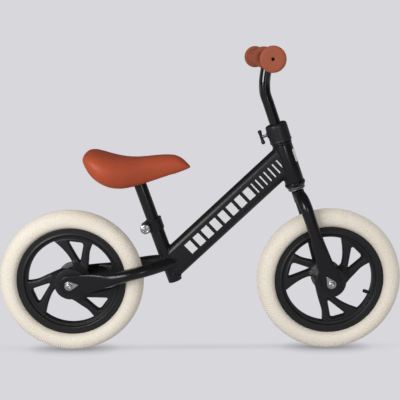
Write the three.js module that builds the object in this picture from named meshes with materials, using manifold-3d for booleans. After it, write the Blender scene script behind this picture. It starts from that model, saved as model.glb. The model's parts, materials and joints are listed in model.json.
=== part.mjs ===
// A child's balance bike: a steel beam frame on two moulded wheels, with a steering fork, a height-
// adjustable handlebar and a height-adjustable saddle. Millimetres, +Z up, +X the way it rolls,
// +Y the rider's left. The origin is on the ground, midway between the wheel axles.
import * as THREE from 'three';
import { mergeVertices } from 'three/addons/utils/BufferGeometryUtils.js';
import Module from 'manifold-3d';

const wasm = await Module();
wasm.setup();

// ---------------------------------------------------------------- driving dimensions
const WHEEL_BASE = 531.4;
const GAP = 0.3;                 // left between neighbours that touch

const TYRE_R = 148.5;            // ISO 47-203: 297 mm over the tread, 47 mm wide
const TYRE_HALF_WIDTH = 23.5;
const RIM_R = 112;               // outer lip of the rim
const RIM_HALF_WIDTH = 12.6;
const RIM_BORE_R = 88.5;         // inside of the rim, where the spokes end
const HUB_HALF_LENGTH = 31;
const BEARING_IN = 22.7;         // inner face of each wheel bearing, from the middle plane
const HUB_DISC_R = 30;
const REAR_SPOKE_ANGLE = 79.8;   // degrees from +X towards +Z, of the first spoke pair
const FRONT_SPOKE_ANGLE = 42.8;
const VALVE_TURN = -62.5;         // valve from the spoke pair, degrees
const AXLE_R = 4;
const BEARING_R = 11;
const DROPOUT_IN = 37.3;         // inner face of each dropout, from the middle plane
const DROPOUT_T = 5.4;
const WASHER_T = 2;

const TILT = 19;                 // head tube and seat tube lean back, degrees
const RAKE = 3;                  // front axle ahead of the steering axis
const STEERER_R = 12.7;
const STEM_R = 11.1;
const HEAD_TUBE_R = 19.5;
const HEAD_LOW = 217;            // heights along the steering axis, above the axle
const HEAD_HIGH = 297;
const COVER_HIGH = 341;
const COVER_R = 21.2;
const KNOB_HEIGHT = 325;
const LEG_R = 12.7;
const LEG_Y = 41;
const CROWN_HEIGHT = 188;

const BEAM_ANGLE = 43.3;         // main beam, degrees above level
const BEAM_HEIGHT = 61;
const BEAM_WIDTH = 28;
const BEAM_WALL = 2;
const BEAM_MID = [-39, 202];     // a point of its centre line, x and z

const SEAT_FOOT = [-51.8, 147];  // centre of the seat tube's lower end, x and z
const SEAT_TUBE_LENGTH = 138;
const SEAT_TUBE_R = 14.3;
const POST_R = 12.7;
const POST_LOW = 45;             // post's lower end above the tube's lower end
const POST_HIGH = 236;
const CLAMP_HEIGHT = 126;        // seat clamp screw, along the seat tube
const CLAMP_BACK = 19.5;         // and behind its axis
const EAR_Y = 13.6;              // outer faces of its ears, from the middle plane
const LEVER_Y = 23.6;            // clamp lever's pivot, from the middle plane
const LEVER_DIP = 58;            // its arm below the seat tube's forward direction, degrees

const BAR_X = 137;               // crossbar's middle
const BAR_Z = 601;
const BAR_SWEEP = 6;             // degrees back, beyond the bends
const BAR_BEND_Y = 98;
const GRIP_END_Y = 213.2;
const GRIP_FLANGE_R = 22.7;

// ---------------------------------------------------------------- materials
const finish = (color, roughness, metalness) =>
  new THREE.MeshStandardMaterial({ color, roughness, metalness });
const FRAME_PAINT = finish(0x1b1b1d, 0.45, 0.4);
const GLOSS_BLACK = finish(0x0c0c0d, 0.2, 0.6);
const MOULDED_BLACK = finish(0x202022, 0.55, 0);
const BLACK_RUBBER = finish(0x151515, 0.8, 0);
const CREAM_RUBBER = finish(0xece2cf, 0.75, 0);
const TERRACOTTA_PAD = finish(0xb5593c, 0.55, 0);
const TERRACOTTA_RUBBER = finish(0xa5563a, 0.7, 0);
const BRIGHT_STEEL = finish(0xc9c9cc, 0.25, 1);
const BEARING_STEEL = finish(0x8d8f93, 0.35, 1);

// ---------------------------------------------------------------- solid helpers
const rad = THREE.MathUtils.degToRad;
const v2 = (x, y) => new THREE.Vector2(x, y);
const v3 = (x, y, z) => new THREE.Vector3(x, y, z);
const polar = (r, degrees) => v2(r * Math.cos(rad(degrees)), r * Math.sin(rad(degrees)));

/** Signed volume of an indexed geometry, negative when its faces point in. */
function signedVolume(geometry) {
  const p = geometry.attributes.position, index = geometry.index.array;
  const [a, b, c] = [v3(), v3(), v3()];
  let sum = 0;
  for (let i = 0; i < index.length; i += 3) {
    a.fromBufferAttribute(p, index[i]);
    b.fromBufferAttribute(p, index[i + 1]);
    c.fromBufferAttribute(p, index[i + 2]);
    sum += a.dot(b.cross(c));
  }
  return sum / 6;
}

/** Closed three.js geometry to a manifold solid with its faces pointing out. */
function solid(geometry) {
  geometry.deleteAttribute('normal');
  geometry.deleteAttribute('uv');
  const merged = mergeVertices(geometry, 1e-3);
  const raw = merged.index.array;
  const triVerts = [];
  for (let i = 0; i < raw.length; i += 3) {
    const [a, b, c] = [raw[i], raw[i + 1], raw[i + 2]];
    if (a !== b && b !== c && c !== a) triVerts.push(a, b, c);
  }
  if (signedVolume(merged) < 0) triVerts.reverse();
  return new wasm.Manifold(new wasm.Mesh({
    numProp: 3,
    vertProperties: new Float32Array(merged.attributes.position.array),
    triVerts: new Uint32Array(triVerts),
  }));
}

/** Manifold solid back to a flat-shaded geometry. */
function geometryOf(manifold) {
  const mesh = manifold.getMesh();
  const geometry = new THREE.BufferGeometry();
  geometry.setAttribute('position', new THREE.BufferAttribute(mesh.vertProperties, 3));
  geometry.setIndex(new THREE.BufferAttribute(mesh.triVerts, 1));
  const flat = geometry.toNonIndexed();
  flat.computeVertexNormals();
  return flat;
}

/** Solid turned about Y from a closed profile of [radius, y] points. */
function turned(profile, segments = 32, phase = 0) {
  const points = profile.map(([r, y]) => v2(r, y));
  points.push(points[0].clone());
  return solid(new THREE.LatheGeometry(points, segments, phase));
}

/** Plain ring about Y, or a disc when its bore is 0. */
function ring(rIn, rOut, low, high, segments = 32) {
  if (rIn > 0) return turned([[rIn, low], [rOut, low], [rOut, high], [rIn, high]], segments);
  return solid(new THREE.CylinderGeometry(rOut, rOut, high - low, segments)
    .translate(0, (high + low) / 2, 0));
}

/** The same solids with their axis along Z in place of Y. */
const upright = (manifold) => manifold.rotate([90, 0, 0]);

/** Shape in the XZ plane, made thick along Y between two values. */
function plate(shape, low, high, curveSegments = 8) {
  const geometry = new THREE.ExtrudeGeometry(shape,
    { depth: high - low, bevelEnabled: false, curveSegments });
  return solid(geometry.rotateX(Math.PI / 2).translate(0, high, 0));
}

/** Box between two corners. */
function block(low, high) {
  const size = high.map((h, i) => h - low[i]);
  return solid(new THREE.BoxGeometry(...size)
    .translate(...low.map((l, i) => l + size[i] / 2)));
}

/**
 * Bar whose section changes along a curve. side(t) is the direction of the section's first half
 * width, halves(t) gives both half widths, and square is 2 for an ellipse and more for a box.
 */
function sweep(curve, side, halves, { around = 16, along = 16, square = 2 } = {}) {
  const geometry = new THREE.CylinderGeometry(1, 1, 1, around, along);
  const position = geometry.attributes.position;
  const unit = (c) => Math.sign(c) * Math.abs(c) ** (2 / square);
  for (let i = 0; i < position.count; i++) {
    const t = THREE.MathUtils.clamp(position.getY(i) + 0.5, 0, 1);
    const tangent = curve.getTangentAt(t);
    const u = side.clone().addScaledVector(tangent, -side.dot(tangent)).normalize();
    const v = u.clone().cross(tangent);
    const [a, b] = halves(t);
    const place = curve.getPointAt(t)
      .addScaledVector(u, a * unit(position.getX(i)))
      .addScaledVector(v, b * unit(position.getZ(i)));
    position.setXYZ(i, place.x, place.y, place.z);
  }
  return solid(geometry);
}

/** Smooth curve through points. */
const through = (points) =>
  new THREE.CatmullRomCurve3(points.map((p) => v3(...p)), false, 'centripetal');

/** Value at x on straight lines between [x, value] pairs. */
function lerpTable(table, x) {
  const next = table.findIndex(([at]) => at >= x);
  if (next < 0) return table[table.length - 1][1];
  if (next === 0) return table[0][1];
  const [[x0, y0], [x1, y1]] = [table[next - 1], table[next]];
  const t = THREE.MathUtils.smoothstep(x, x0, x1) * 0.5 + (x - x0) / (x1 - x0) * 0.5;
  return y0 + (y1 - y0) * t;
}

const bike = new THREE.Group();

/** Adds one named piece to a group. */
function add(group, name, manifold, material) {
  const mesh = new THREE.Mesh(geometryOf(manifold), material);
  mesh.name = name;
  group.add(mesh);
}

/** Group standing on a point of the middle plane, leaning back by the frame's tilt. */
function leaning(x, z) {
  const group = new THREE.Group();
  group.position.set(x, 0, z);
  group.rotation.y = rad(-TILT);
  bike.add(group);
  return group;
}

/** Solid in a leaning group's axes moved out to world axes. */
const outOfLean = (manifold, [x, z]) => manifold.rotate([0, -TILT, 0]).translate([x, 0, z]);

const STEER_FOOT = [
  WHEEL_BASE / 2 - RAKE * Math.cos(rad(TILT)),
  TYRE_R - RAKE * Math.sin(rad(TILT)),
];
const BOTH_SIDES = [['right', -1], ['left', 1]];

/** A solid made for the left side (+Y), or its mirror image for the right. */
const onSide = (manifold, sign) => (sign > 0 ? manifold : manifold.mirror([0, 1, 0]));

// ---------------------------------------------------------------- wheels
const TYRE_SEGMENTS = 28;

/** Open C-section casing with two beads, its tread band flat where it meets the ground. */
function tyre() {
  const half = [[104, 8.4], [112.4, 8.8], [118, 19.5], [128, TYRE_HALF_WIDTH], [140, 18.2]];
  const liner = [[143, 7], [133, 18.8], [120, 15.5], [113.6, 6], [104, 5.6]];
  const mirror = (points) => points.map(([r, y]) => [r, -y]).reverse();
  const profile = [...half, [TYRE_R, 3], [TYRE_R, -3], ...mirror(half), ...mirror(liner), ...liner];
  const reach = 1 / Math.cos(Math.PI / TYRE_SEGMENTS);
  return turned(profile.map(([r, y]) => [r * reach, y]), TYRE_SEGMENTS, Math.PI / TYRE_SEGMENTS);
}

/** Valve axis placement: a solid along Z, moved to stand inwards from the rim. */
const atValve = (manifold, spokeAngle) =>
  manifold.rotate([0, 90 - (spokeAngle + VALVE_TURN), 0]);

/** Thin air tube, its hollow open at the valve hole. */
function innerTube(spokeAngle) {
  const loop = (inset) => {
    const [middle, tall, wide] = [124.5, 17 - inset, 13 - inset];
    return Array.from({ length: 6 }, (_, i) => {
      const a = (i / 6) * 2 * Math.PI;
      const narrow = Math.cos(a) < -0.4 ? 0.44 : 1;
      return [middle + tall * Math.cos(a), wide * Math.sin(a) * narrow];
    });
  };
  const hole = atValve(upright(ring(0, 3.6, 0, 118, 8)), spokeAngle);
  return turned(loop(0), 16).subtract(turned(loop(1.6), 16)).subtract(hole);
}

/** One pair of curved spokes around a window, spanning from hub to rim. */
function spokePair() {
  const edge = (points) => new THREE.SplineCurve(points.map(([r, a]) => polar(r, a))).getPoints(5);
  const behind = edge([[16, -90], [30, -66], [38, -50], [52, -33], [72, -22], [92, -19.6]]);
  const ahead = edge([[92, 32], [70, 23.7], [50, 13.2], [36, 4], [16, -2]]);
  const shape = new THREE.Shape([...behind, polar(92, 6), ...ahead]);
  const corners = [polar(84, 14), polar(84, -8.2), polar(43.5, -15)];
  const window = new THREE.Path();
  const fillet = 5;
  corners.forEach((corner, i) => {
    const from = corners[(i + 2) % 3], to = corners[(i + 1) % 3];
    const enter = corner.clone().addScaledVector(from.clone().sub(corner).normalize(), fillet);
    const leave = corner.clone().addScaledVector(to.clone().sub(corner).normalize(), fillet);
    if (i === 0) window.moveTo(enter.x, enter.y);
    else window.lineTo(enter.x, enter.y);
    window.quadraticCurveTo(corner.x, corner.y, leave.x, leave.y);
  });
  shape.holes.push(window);
  return plate(shape, -7.6, 7.6, 3);
}

/** Moulded rim, spokes and hub in one piece. */
function wheelMoulding(spokeAngle) {
  const half = [[RIM_BORE_R, 7.6], [95, 7.6], [97.6, 12], [RIM_R, RIM_HALF_WIDTH],
    [RIM_R, 9.4], [103, 9], [98.6, 5]];
  const rim = turned([...half, ...half.map(([r, y]) => [r, -y]).reverse()], TYRE_SEGMENTS);
  const core = [[HUB_DISC_R, HUB_HALF_LENGTH - 3.5], [21, HUB_HALF_LENGTH - 3.5]];
  const hub = turned([
    [9, BEARING_IN - GAP], [BEARING_R + GAP, BEARING_IN - GAP], [BEARING_R + GAP, HUB_HALF_LENGTH],
    [HUB_DISC_R, HUB_HALF_LENGTH], ...core, ...core.map(([r, y]) => [r, -y]).reverse(),
    [HUB_DISC_R, -HUB_HALF_LENGTH], [BEARING_R + GAP, -HUB_HALF_LENGTH],
    [BEARING_R + GAP, GAP - BEARING_IN], [9, GAP - BEARING_IN],
  ], 16);
  const bore = ring(0, 15, -40, 40, 16);
  let wheel = rim;
  for (let k = 0; k < 3; k++) {
    wheel = wheel.add(spokePair().subtract(bore).rotate([0, -(spokeAngle + 120 * k), 0]));
  }
  const valveHole = atValve(upright(ring(0, 4.4, 80, 110, 8)), spokeAngle);
  return wheel.add(hub).subtract(valveHole);
}

/** Everything that turns with one wheel. */
function wheel(end, x, spokeAngle) {
  const group = new THREE.Group();
  group.position.set(x, 0, TYRE_R);
  bike.add(group);
  add(group, `${end}_tyre`, tyre(), CREAM_RUBBER);
  add(group, `${end}_inner_tube`, innerTube(spokeAngle), BLACK_RUBBER);
  add(group, `${end}_wheel`, wheelMoulding(spokeAngle), MOULDED_BLACK);
  for (const [side, sign] of BOTH_SIDES) {
    const bearing = ring(AXLE_R + GAP, BEARING_R, BEARING_IN, BEARING_IN + 7, 12);
    add(group, `${end}_bearing_${side}`, onSide(bearing, sign), BEARING_STEEL);
  }
  const stem = turned([[0, 84], [1.9, 84], [1.9, 97], [3.4, 97], [3.4, 103], [5, 104], [5, 105], [0, 105]], 8);
  const cap = turned([[0, 77.6], [3.2, 77.6], [3.8, 79], [3.8, 89], [2.3, 89], [2.3, 83.7], [0, 83.7]], 8);
  for (const [name, piece] of [['valve_stem', stem], ['valve_cap', cap]]) {
    add(group, `${end}_${name}`, atValve(upright(piece), spokeAngle), BLACK_RUBBER);
  }
}

/** Fixed axle with its sleeve, spacers, teardrop washers and bolts, at the origin. */
function axleSet(group, end, washerAngle) {
  const half = 43.4;
  const socket = ring(0, 3.3, half - 16, half + 1, 10);
  const axle = ring(0, AXLE_R, -half, half, 10)
    .subtract(socket).subtract(socket.mirror([0, 1, 0]));
  add(group, `${end}_axle`, axle, BEARING_STEEL);
  add(group, `${end}_axle_sleeve`, ring(AXLE_R + GAP, 6.2, GAP - BEARING_IN, BEARING_IN - GAP, 10), BEARING_STEEL);
  for (const [side, sign] of BOTH_SIDES) {
    const spacer = ring(AXLE_R + GAP, 7, BEARING_IN + 7 + GAP, DROPOUT_IN - GAP, 10);
    add(group, `${end}_axle_spacer_${side}`, onSide(spacer, sign), BEARING_STEEL);
    const face = DROPOUT_IN + DROPOUT_T + GAP;
    add(group, `${end}_axle_washer_${side}`, onSide(teardrop(face, washerAngle), sign), BRIGHT_STEEL);
    const seat = face + WASHER_T + GAP;
    const bolt = turned([[0, 30], [3, 30], [3, seat], [6.8, seat], [6.8, seat + 2.6], [5.4, seat + 4.2],
      [0, seat + 4.8]], 10);
    add(group, `${end}_axle_bolt_${side}`, onSide(bolt, sign), BRIGHT_STEEL);
  }
}

/** Washer with a round head and a point, its inner face at y. */
function teardrop(y, angle) {
  const [r, tip, nose] = [10, 16.5, 1.6];
  const open = Math.acos((r - nose) / tip) / Math.PI * 180;
  const shape = new THREE.Shape();
  shape.absarc(0, 0, r, rad(open), rad(360 - open), false);
  shape.absarc(tip, 0, nose, rad(-open), rad(open), false);
  const hole = new THREE.Path();
  hole.absarc(0, 0, AXLE_R + 0.9, 0, 2 * Math.PI, true);
  shape.holes.push(hole);
  return plate(shape, y, y + WASHER_T, 4).rotate([0, -angle, 0]);
}

// ---------------------------------------------------------------- frame
/** Outer form of the main beam, grown by a margin, between two distances along it. */
function beamForm(margin, from, to) {
  const [h, w] = [BEAM_HEIGHT / 2 + margin, BEAM_WIDTH / 2 + margin];
  const shape = new THREE.Shape();
  shape.absarc(0, h - w, w, 0, Math.PI, false);
  shape.absarc(0, w - h, w, Math.PI, 2 * Math.PI, false);
  const geometry = new THREE.ExtrudeGeometry(shape,
    { depth: to - from, bevelEnabled: false, curveSegments: 5 });
  // section x to world y, section y to the beam's upper side, depth along the beam
  geometry.translate(0, 0, from).rotateZ(Math.PI / 2).rotateY(Math.PI / 2).rotateX(Math.PI)
    .rotateY(rad(-BEAM_ANGLE)).translate(BEAM_MID[0], 0, BEAM_MID[1]);
  return solid(geometry);
}

/** Cylinder round a leaning group's axis, in world axes. */
const leanRod = (foot, r, low, high) => outOfLean(upright(ring(0, r, low, high, 28)), foot);

/** Everything ahead of (1) or behind (-1) a leaning group's axis, in world axes. */
const beyond = (foot, sign) => outOfLean(
  block([Math.min(0, sign * 200), -80, -60], [Math.max(0, sign * 200), 80, 420]), foot);

/** Hollow flat-oval beam, mitred to the head tube and the seat tube. */
function mainBeam() {
  return beamForm(0, -70, 330).subtract(beamForm(-BEAM_WALL, -80, 340))
    .subtract(leanRod(STEER_FOOT, HEAD_TUBE_R + GAP, 100, 400)).subtract(beyond(STEER_FOOT, 1))
    .subtract(leanRod(SEAT_FOOT, SEAT_TUBE_R + GAP, -90, 300)).subtract(beyond(SEAT_FOOT, -1));
}

/** Left chainstay: round at the seat tube, flattened into the dropout at the axle. */
function chainstay() {
  const x = -WHEEL_BASE / 2;
  const y = DROPOUT_IN + DROPOUT_T / 2;
  const curve = through([[-56, 14, 186], [-90, 29, 181], [-118, 39, 176], [-142, 42.6, 171],
    [-168, 42.6, 164.5], [-205, 42, 157], [x + 20, y, 150.5], [x, y, TYRE_R]]);
  const tall = [[0, 12.7], [0.5, 12.7], [0.72, 16.5], [0.9, 19.6], [1, 20]];
  const thick = [[0, 12.7], [0.48, 12.7], [0.66, 8.5], [0.82, DROPOUT_T / 2], [1, DROPOUT_T / 2]];
  const stay = (wall) => sweep(curve, v3(0, 1, 0),
    (t) => [lerpTable(thick, t) - wall, lerpTable(tall, t) - wall], { around: 12, along: 12 });
  const hollow = stay(1.6).intersect(block([-165, 0, 100], [-40, 80, 250]));
  const slot = block([x - 40, 0, TYRE_R - AXLE_R - GAP], [x, 80, TYRE_R + AXLE_R + GAP])
    .add(ring(0, AXLE_R + GAP, 0, 80, 12).translate([x, 0, TYRE_R]));
  const disc = ring(0, 20, DROPOUT_IN, DROPOUT_IN + DROPOUT_T, 24).translate([x, 0, TYRE_R]);
  return stay(0).add(disc).subtract(hollow).subtract(slot)
    .subtract(block([-120, -40, 100], [0, GAP / 2, 260]))
    .subtract(leanRod(SEAT_FOOT, SEAT_TUBE_R + GAP, -90, 300))
    .subtract(beamForm(GAP, -70, 100).subtract(beyond(SEAT_FOOT, -1)));
}

/** Headset cup and bearing for one end of the head tube; up is 1 at the top, -1 at the bottom. */
function headset(group, name, end, up, flangeR, flangeT) {
  const at = (r, s) => [r, end + up * s];
  const cup = turned([at(14.6, -11), at(16.7, -11), at(16.7, GAP), at(flangeR - 1, GAP),
    at(flangeR, 1.6), at(flangeR, flangeT - 2.4), at(flangeR - 1.6, flangeT), at(18.6, flangeT),
    at(18.6, 2), at(14.6, 2)], 20);
  add(group, `${name}_headset_cup`, upright(cup), FRAME_PAINT);
  const race = [end + up * (2 + GAP), end + up * flangeT].sort((a, b) => a - b);
  add(group, `${name}_headset_bearing`, upright(ring(13.1, 18.2, race[0], race[1], 20)), BEARING_STEEL);
}

function frame() {
  add(bike, 'main_beam', mainBeam(), FRAME_PAINT);
  for (const [side, sign] of BOTH_SIDES) {
    add(bike, `${side}_chainstay`, onSide(chainstay(), sign), FRAME_PAINT);
  }
  const head = leaning(...STEER_FOOT);
  add(head, 'head_tube', upright(ring(HEAD_TUBE_R - 2, HEAD_TUBE_R, HEAD_LOW, HEAD_HIGH, 28)), FRAME_PAINT);
  headset(head, 'lower', HEAD_LOW, -1, 21.4, 11);
  headset(head, 'upper', HEAD_HIGH, 1, 20, 5.6);

  const seat = leaning(...SEAT_FOOT);
  const split = block([-20, -1.2, 100], [0, 1.2, 140]);
  const tube = upright(ring(POST_R + 0.35, SEAT_TUBE_R, 0, SEAT_TUBE_LENGTH, 28)).subtract(split);
  add(seat, 'seat_tube', tube, FRAME_PAINT);
  seatClamp(seat, split);

  const rear = new THREE.Group();
  rear.position.set(-WHEEL_BASE / 2, 0, TYRE_R);
  bike.add(rear);
  axleSet(rear, 'rear', 8);
}

/** Split collar with two ears behind the tube, and the screw that draws them together. */
function seatClamp(group, split) {
  const [low, high] = [CLAMP_HEIGHT - 12, CLAMP_HEIGHT + 12];
  const ears = block([-CLAMP_BACK - 6.5, -EAR_Y, low + 3], [-SEAT_TUBE_R + 6, EAR_Y, high - 3]);
  const alongY = (r, from, to) => ring(0, r, from, to, 12).translate([-CLAMP_BACK, 0, CLAMP_HEIGHT]);
  const collar = upright(ring(SEAT_TUBE_R + GAP, SEAT_TUBE_R + 3, low, high, 28)).add(ears)
    .subtract(upright(ring(0, SEAT_TUBE_R + GAP, low - 5, high + 5, 28)))
    .subtract(split.translate([-12, 0, 0])).subtract(alongY(3.2, -30, 30));
  add(group, 'seat_clamp_collar', collar, FRAME_PAINT);
  add(group, 'seat_clamp_skewer', alongY(2.5, -EAR_Y - 8, EAR_Y + 2.6), BRIGHT_STEEL);
  const out = -EAR_Y - GAP;
  const nut = turned([[2.9, out], [9, out], [10.4, out - 1.3], [10.4, out - 5.6], [9.4, out - 7.4],
    [6, out - 9], [0, out - 9.4], [0, out - 8.2], [2.9, out - 8.2]], 16);
  add(group, 'seat_clamp_nut', nut.translate([-CLAMP_BACK, 0, CLAMP_HEIGHT]), BRIGHT_STEEL);
  const washer = ring(3.2, 9, EAR_Y + GAP, EAR_Y + 3.6, 16);
  add(group, 'seat_clamp_washer', washer.translate([-CLAMP_BACK, 0, CLAMP_HEIGHT]), BRIGHT_STEEL);
}

/** Lever of the seat clamp on the left side: a cam barrel, and an arm lying forwards and down. */
function clampLever() {
  const group = leaning(...SEAT_FOOT);
  const arm = new THREE.Shape();
  arm.absarc(0, 0, 6.5, rad(90), rad(270), false);
  arm.absarc(38, 0, 5, rad(-90), rad(90), false);
  const barrel = upright(ring(0, 6, -7, 7, 14));
  const lever = plate(arm, -2.5, 2.5, 4).add(barrel)
    .rotate([0, LEVER_DIP, 0]).translate([-CLAMP_BACK, LEVER_Y, CLAMP_HEIGHT]);
  add(group, 'seat_clamp_lever', lever, GLOSS_BLACK);
}

// ---------------------------------------------------------------- fork
/** Left fork leg, from the crown down to a flattened dropout, in the leaning group's axes. */
function forkLeg() {
  const y = DROPOUT_IN + DROPOUT_T / 2;
  const curve = through([[RAKE, y, 0], [RAKE, y, 16], [RAKE, LEG_Y + 0.5, 60], [RAKE, LEG_Y + 0.5, 105],
    [RAKE, LEG_Y, 150], [RAKE, LEG_Y - 3, 172], [RAKE * 0.7, LEG_Y - 15, 184.5], [0, 0, CROWN_HEIGHT]]);
  const wide = [[0, 18], [0.16, 17.2], [0.42, 13.6], [0.5, LEG_R], [1, LEG_R]];
  const thick = [[0, DROPOUT_T / 2], [0.11, DROPOUT_T / 2], [0.3, 9.5], [0.44, LEG_R], [1, LEG_R]];
  const leg = (wall) => sweep(curve, v3(0, 1, 0.001),
    (t) => [lerpTable(thick, t) - wall, lerpTable(wide, t) - wall], { around: 12, along: 13 });
  const hollow = leg(1.6).intersect(block([-40, 0, 60], [40, 80, 230]));
  const disc = ring(0, 18, DROPOUT_IN, DROPOUT_IN + DROPOUT_T, 24).translate([RAKE, 0, 0]);
  const slot = block([RAKE - AXLE_R - GAP, 0, -40], [RAKE + AXLE_R + GAP, 80, 0])
    .add(ring(0, AXLE_R + GAP, 0, 80, 12).translate([RAKE, 0, 0]));
  return leg(0).add(disc).subtract(hollow).subtract(slot)
    .subtract(block([-40, -40, 120], [40, GAP / 2, 240]))
    .subtract(upright(ring(0, STEERER_R + GAP, 150, 240, 20)));
}

/** Screw hole through the steerer, collar and cover, behind the steering axis. */
const knobHole = (r) => ring(0, r, -30, 0, 10).rotate([0, 0, -90]).translate([0, 0, KNOB_HEIGHT]);

function fork() {
  const group = leaning(...STEER_FOOT);
  for (const [side, sign] of BOTH_SIDES) {
    add(group, `${side}_fork_leg`, onSide(forkLeg(), sign), FRAME_PAINT);
  }
  const steerer = upright(ring(STEM_R + 0.35, STEERER_R, 176, 335, 20)).subtract(knobHole(3.4));
  add(group, 'steerer_tube', steerer, FRAME_PAINT);
  const race = upright(turned([[STEERER_R + GAP, 203], [16.5, 203], [17.6, 205], [14.6, 207.6],
    [STEERER_R + GAP, 207.6]].map(([r, s]) => [r, s - 1.9]), 20));
  add(group, 'crown_race', race, BEARING_STEEL);
  const collar = upright(ring(STEERER_R + GAP, 17, 304, 336, 20)).subtract(knobHole(3.4));
  add(group, 'stem_clamp_collar', collar, BEARING_STEEL);
  const cover = upright(turned([[17.3, 303.2], [COVER_R + 0.4, 303.2], [COVER_R, COVER_HIGH - 3.5],
    [COVER_R - 1.2, COVER_HIGH - 1], [COVER_R - 4, COVER_HIGH], [STEM_R + 0.6, COVER_HIGH],
    [STEM_R + 0.6, 336.3], [17.3, 336.3]], 20)).subtract(knobHole(3.4));
  add(group, 'stem_clamp_cover', cover, MOULDED_BLACK);
  const axle = new THREE.Group();
  axle.position.set(RAKE, 0, 0);
  group.add(axle);
  axleSet(axle, 'front', 104);
}

/** Hand screw that holds the handlebar stem: a threaded stud with a cross bar. */
function clampKnob() {
  const group = leaning(...STEER_FOOT);
  const stud = ring(0, 3, -33, -STEM_R - 0.6, 12).rotate([0, 0, -90]).translate([0, 0, KNOB_HEIGHT]);
  const end = [[0, 15], [2.4, 14.4], [4, 12], [3.5, 9]];
  const bar = upright(turned([...end, [3.1, 0], ...end.map(([r, s]) => [r, -s]).reverse()], 10));
  const seat = ring(0, 3.3, -33.1, -20, 12).rotate([0, 0, -90]);
  const grip = bar.translate([-34.8, 0, 0]).subtract(seat).translate([0, 0, KNOB_HEIGHT]);
  add(group, 'clamp_screw_stud', stud, BRIGHT_STEEL);
  add(group, 'clamp_screw_bar', grip, MOULDED_BLACK);
}

// ---------------------------------------------------------------- handlebar
/** Point of the steering axis at a height along it, in world axes. */
const onSteeringAxis = (s) =>
  [STEER_FOOT[0] - s * Math.sin(rad(TILT)), 0, STEER_FOOT[1] + s * Math.cos(rad(TILT))];

function handlebar() {
  const stemCurve = through([onSteeringAxis(226), onSteeringAxis(300), onSteeringAxis(345),
    onSteeringAxis(385), [130.6, 0, 532], [129.3, 0, 551], [131.6, 0, 574], [BAR_X, 0, BAR_Z]]);
  const bar = sweep(through([[BAR_X, -BAR_BEND_Y - 20, BAR_Z], [BAR_X, BAR_BEND_Y + 20, BAR_Z]]),
    v3(1, 0, 0), () => [STEM_R + GAP, STEM_R + GAP], { around: 16, along: 1 });
  const stem = (r) => sweep(stemCurve, v3(0, 1, 0), () => [r, r], { around: 14, along: 11 });
  add(bike, 'handlebar_stem', stem(STEM_R).subtract(stem(STEM_R - 1.8)
    .intersect(block([0, -40, 0], [400, 40, BAR_Z - 8]))).subtract(bar), GLOSS_BLACK);

  const reach = GRIP_END_Y - 7;
  const back = (y) => BAR_X - (y - BAR_BEND_Y) * Math.tan(rad(BAR_SWEEP));
  const half = [[BAR_X, 50], [BAR_X, 82], [BAR_X - 0.4, BAR_BEND_Y], [back(116), 116], [back(150), 150],
    [back(reach), reach]];
  const points = [...half.map(([x, y]) => [x, -y, BAR_Z]).reverse(), ...half.map(([x, y]) => [x, y, BAR_Z])];
  const barCurve = through(points);
  const pipe = (r) => sweep(barCurve, v3(0, 0, 1), () => [r, r], { around: 14, along: 12 });
  add(bike, 'handlebar_crossbar', pipe(STEM_R).subtract(pipe(STEM_R - 1.8)), GLOSS_BLACK);

  const flange = GRIP_FLANGE_R;
  const length = GRIP_END_Y - BAR_BEND_Y;
  const profile = [[STEM_R + 0.4, 7], [20, 7], [22, 8.5], [22, 11], [20, 12.5], [16.2, 14],
    [15.4, 50], [16, length - 14], [19.5, length - 8.5], [flange, length - 6.5], [flange, length - 2],
    [flange - 2.2, length], [2.8, length], [2.8, length - 5.5], [STEM_R + 0.4, length - 5.5]];
  for (const [side, sign] of BOTH_SIDES) {
    const grip = turned(profile, 16).rotate([0, 0, BAR_SWEEP]).translate([BAR_X, BAR_BEND_Y, BAR_Z]);
    add(bike, `${side}_grip`, onSide(grip, sign), TERRACOTTA_RUBBER);
  }
}

// ---------------------------------------------------------------- saddle
const SADDLE_TAIL = -233;
const SADDLE_NOSE = -20;
// heights and half widths by distance from the tail
const SADDLE_TOP = [[0, 406], [22, 423], [55, 414], [90, 406], [128, 406.5], [175, 411], [195, 406],
  [208, 397], [215, 388]];
const SADDLE_LOW = [[0, 386], [14, 364], [32, 350], [60, 342], [84, 341], [128, 352], [166, 365],
  [206, 379], [215, 382]];
const SADDLE_HALF = [[0, 34], [16, 58], [45, 69], [80, 62], [120, 44], [160, 29], [195, 23], [215, 10]];

/** Saddle form shrunk by a wall, between its lower edge and its top. */
function saddleForm(wall, ceiling = 0) {
  const length = SADDLE_NOSE - SADDLE_TAIL - 2 * wall;
  const middle = (at) => (lerpTable(SADDLE_TOP, at) - ceiling + lerpTable(SADDLE_LOW, at)) / 2;
  const stations = Array.from({ length: 19 }, (_, i) => wall + (length * i) / 18);
  const curve = through(stations.map((at) => [SADDLE_TAIL + at, 0, middle(at)]));
  const distance = (t) => curve.getPointAt(t).x - SADDLE_TAIL;
  return sweep(curve, v3(0, 1, 0), (t) => {
    const at = distance(t);
    const tall = (lerpTable(SADDLE_TOP, at) - ceiling - lerpTable(SADDLE_LOW, at)) / 2;
    return [lerpTable(SADDLE_HALF, at) - wall, Math.max(tall, 1)];
  }, { around: 14, along: 12, square: 3.6 });
}

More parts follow.
